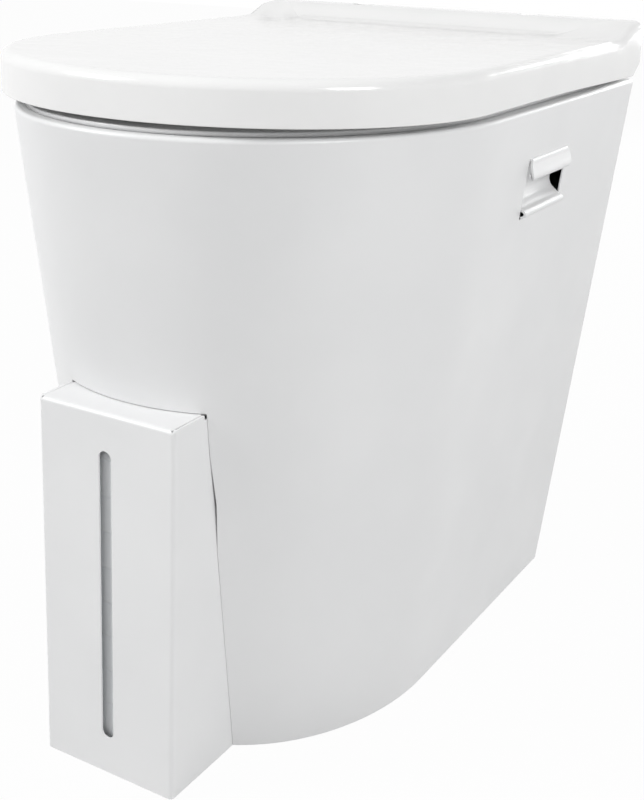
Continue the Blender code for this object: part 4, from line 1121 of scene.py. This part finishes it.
def finish(name, dark, light, gloss, cloud, grain, depth, stretch=(1.0, 1.0, 1.0), **plain):
    """A surface: cloudy colour, uneven roughness and a grain of some depth in metres."""
    made = bpy.data.materials.new(name)
    made.use_nodes = True
    tree = made.node_tree
    shader = tree.nodes["Principled BSDF"]
    for socket, value in plain.items():
        shader.inputs[socket.replace("_", " ")].default_value = value
    connect(tree, tint(tree, noise(tree, cloud), dark, light), shader.inputs["Base Color"])
    connect(tree, between(tree, noise(tree, cloud * 3), *gloss), shader.inputs["Roughness"])
    peel = add(tree, "Bump", {"Height": noise(tree, grain, 3.0, stretch), "Distance": depth, "Strength": 1.0})
    connect(tree, peel.outputs[0], shader.inputs["Normal"])
    return made


print("finish tools ready")

# %% [markdown]
# Each finish gives its darker and lighter colour, its range of roughness, how many clouds and how
# many grains it has to the metre, and how deep the grain is. The whites differ most in gloss: the
# lid mirrors its surroundings, the coat only glows.

# %% Powder coat and moulded plastics
plastics = {
    "powder_coat": ("powder_coat_white", (0.800, 0.804, 0.808), (0.826, 0.829, 0.832), (0.29, 0.38),
                    9.0, 1100.0, 0.00003),
    "lid_plastic": ("lid_gloss_white", (0.850, 0.851, 0.848), (0.872, 0.873, 0.870), (0.13, 0.19),
                    14.0, 30.0, 0.00003),
    "insert_plastic": ("insert_satin_white", (0.800, 0.804, 0.808), (0.830, 0.832, 0.834), (0.28, 0.36),
                       16.0, 60.0, 0.00010),
    "bucket_plastic": ("bucket_matte_grey", (0.110, 0.113, 0.118), (0.140, 0.144, 0.150), (0.46, 0.60),
                       20.0, 1500.0, 0.00004),
    "cap_plastic": ("cap_slate_blue", (0.060, 0.150, 0.300), (0.080, 0.185, 0.350), (0.34, 0.46),
                    40.0, 1500.0, 0.00003),
    "hinge_plastic": ("hinge_nylon", (0.700, 0.702, 0.702), (0.745, 0.746, 0.745), (0.38, 0.48),
                      60.0, 1300.0, 0.00003)}
finishes = {slot: finish(*numbers) for slot, numbers in plastics.items()}
print("finishes:", sorted(finishes))

# %% [markdown]
# Rubber scatters nearly all light. Brushed steel is a metal whose grain is drawn out along one axis,
# so its reflections smear across it.

# %% Rubber and steel
finishes["rubber"] = finish("rubber_black", (0.030, 0.030, 0.030), (0.048, 0.048, 0.047), (0.72, 0.88),
                            80.0, 1800.0, 0.00006)
finishes["stainless_steel"] = finish("steel_brushed", (0.560, 0.560, 0.555), (0.640, 0.640, 0.635),
                                     (0.29, 0.38), 120.0, 1400.0, 0.00002, (0.05, 1.0, 1.0), Metallic=1.0)
print("rubber and steel ready")

# %% [markdown]
# The canister is milky plastic: some light goes through it, so the level shows in the slot as a
# shade. Its moulded level marks are thin ribs, made from the height with a repeating sum and added
# to the grain, which saves drawing nine ribs round every corner.

# %% Milky canister
mark_spacing, mark_share, mark_height = 0.025, 0.06, 0.0004
milky = finish("canister_milky", (0.885, 0.910, 0.930), (0.915, 0.935, 0.950), (0.30, 0.42), 22.0,
               700.0, 0.00004, Transmission_Weight=0.08, IOR=1.5)
finishes["canister_plastic"] = milky
tree = milky.node_tree
height = add(tree, "SeparateXYZ", {0: add(tree, "TexCoord", {}).outputs["Object"]}).outputs["Z"]
marks = add(tree, "Math", {0: height, 1: mark_spacing}, operation="DIVIDE")
part_way = add(tree, "Math", {0: marks.outputs[0]}, operation="FRACT")
rib = add(tree, "MapRange", {"Value": part_way.outputs[0], "From Min": 0.0, "From Max": mark_share,
                             "To Min": 1.0, "To Max": 0.0})
rib_bump = add(tree, "Bump", {"Height": rib.outputs[0], "Distance": mark_height,
                              "Normal": tree.nodes["Bump"].outputs[0]})
connect(tree, rib_bump.outputs[0], tree.nodes["Principled BSDF"].inputs["Normal"])
print("canister ready")

# %% [markdown]
# ## Put each piece in the place of its solid
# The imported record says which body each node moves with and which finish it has. So the table here
# only pairs a node with its piece, and the rest is looked up. That keeps the dressing and the
# working model in step when either changes.

# %% Dress, ride and replace
stands_for = {"body_shell": shell, "back_panel": back_panel, "urine_box": front_box,
              "grip_left": grips["left"], "grip_right": grips["right"], "diverter_insert": insert,
              "seat_ring": seat, "lid": lid, "urine_canister": canister, "canister_cap": cap,
              "solids_bucket": bucket, "bucket_locator": ring, "drain_spout": spout, "drain_nut": nut,
              "basin_strainer": strainer, **screws, **hardware}
body_of = {node: body for body, nodes in frame["record"]["behaviour"]["bodies"].items() for node in nodes}
slot_of = {entry["node"]: entry["material_slot"] for entry in frame["record"]["subparts"]}
for node, piece in stands_for.items():
    piece.data.materials.clear()
    piece.data.materials.append(finishes[slot_of[node]])
    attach(piece, body_of[node])
    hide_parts(node)
left_over = sorted(set(frame["nodes"]) - set(stands_for))
print("pieces:", len(stands_for), "nodes left as they are:", left_over)
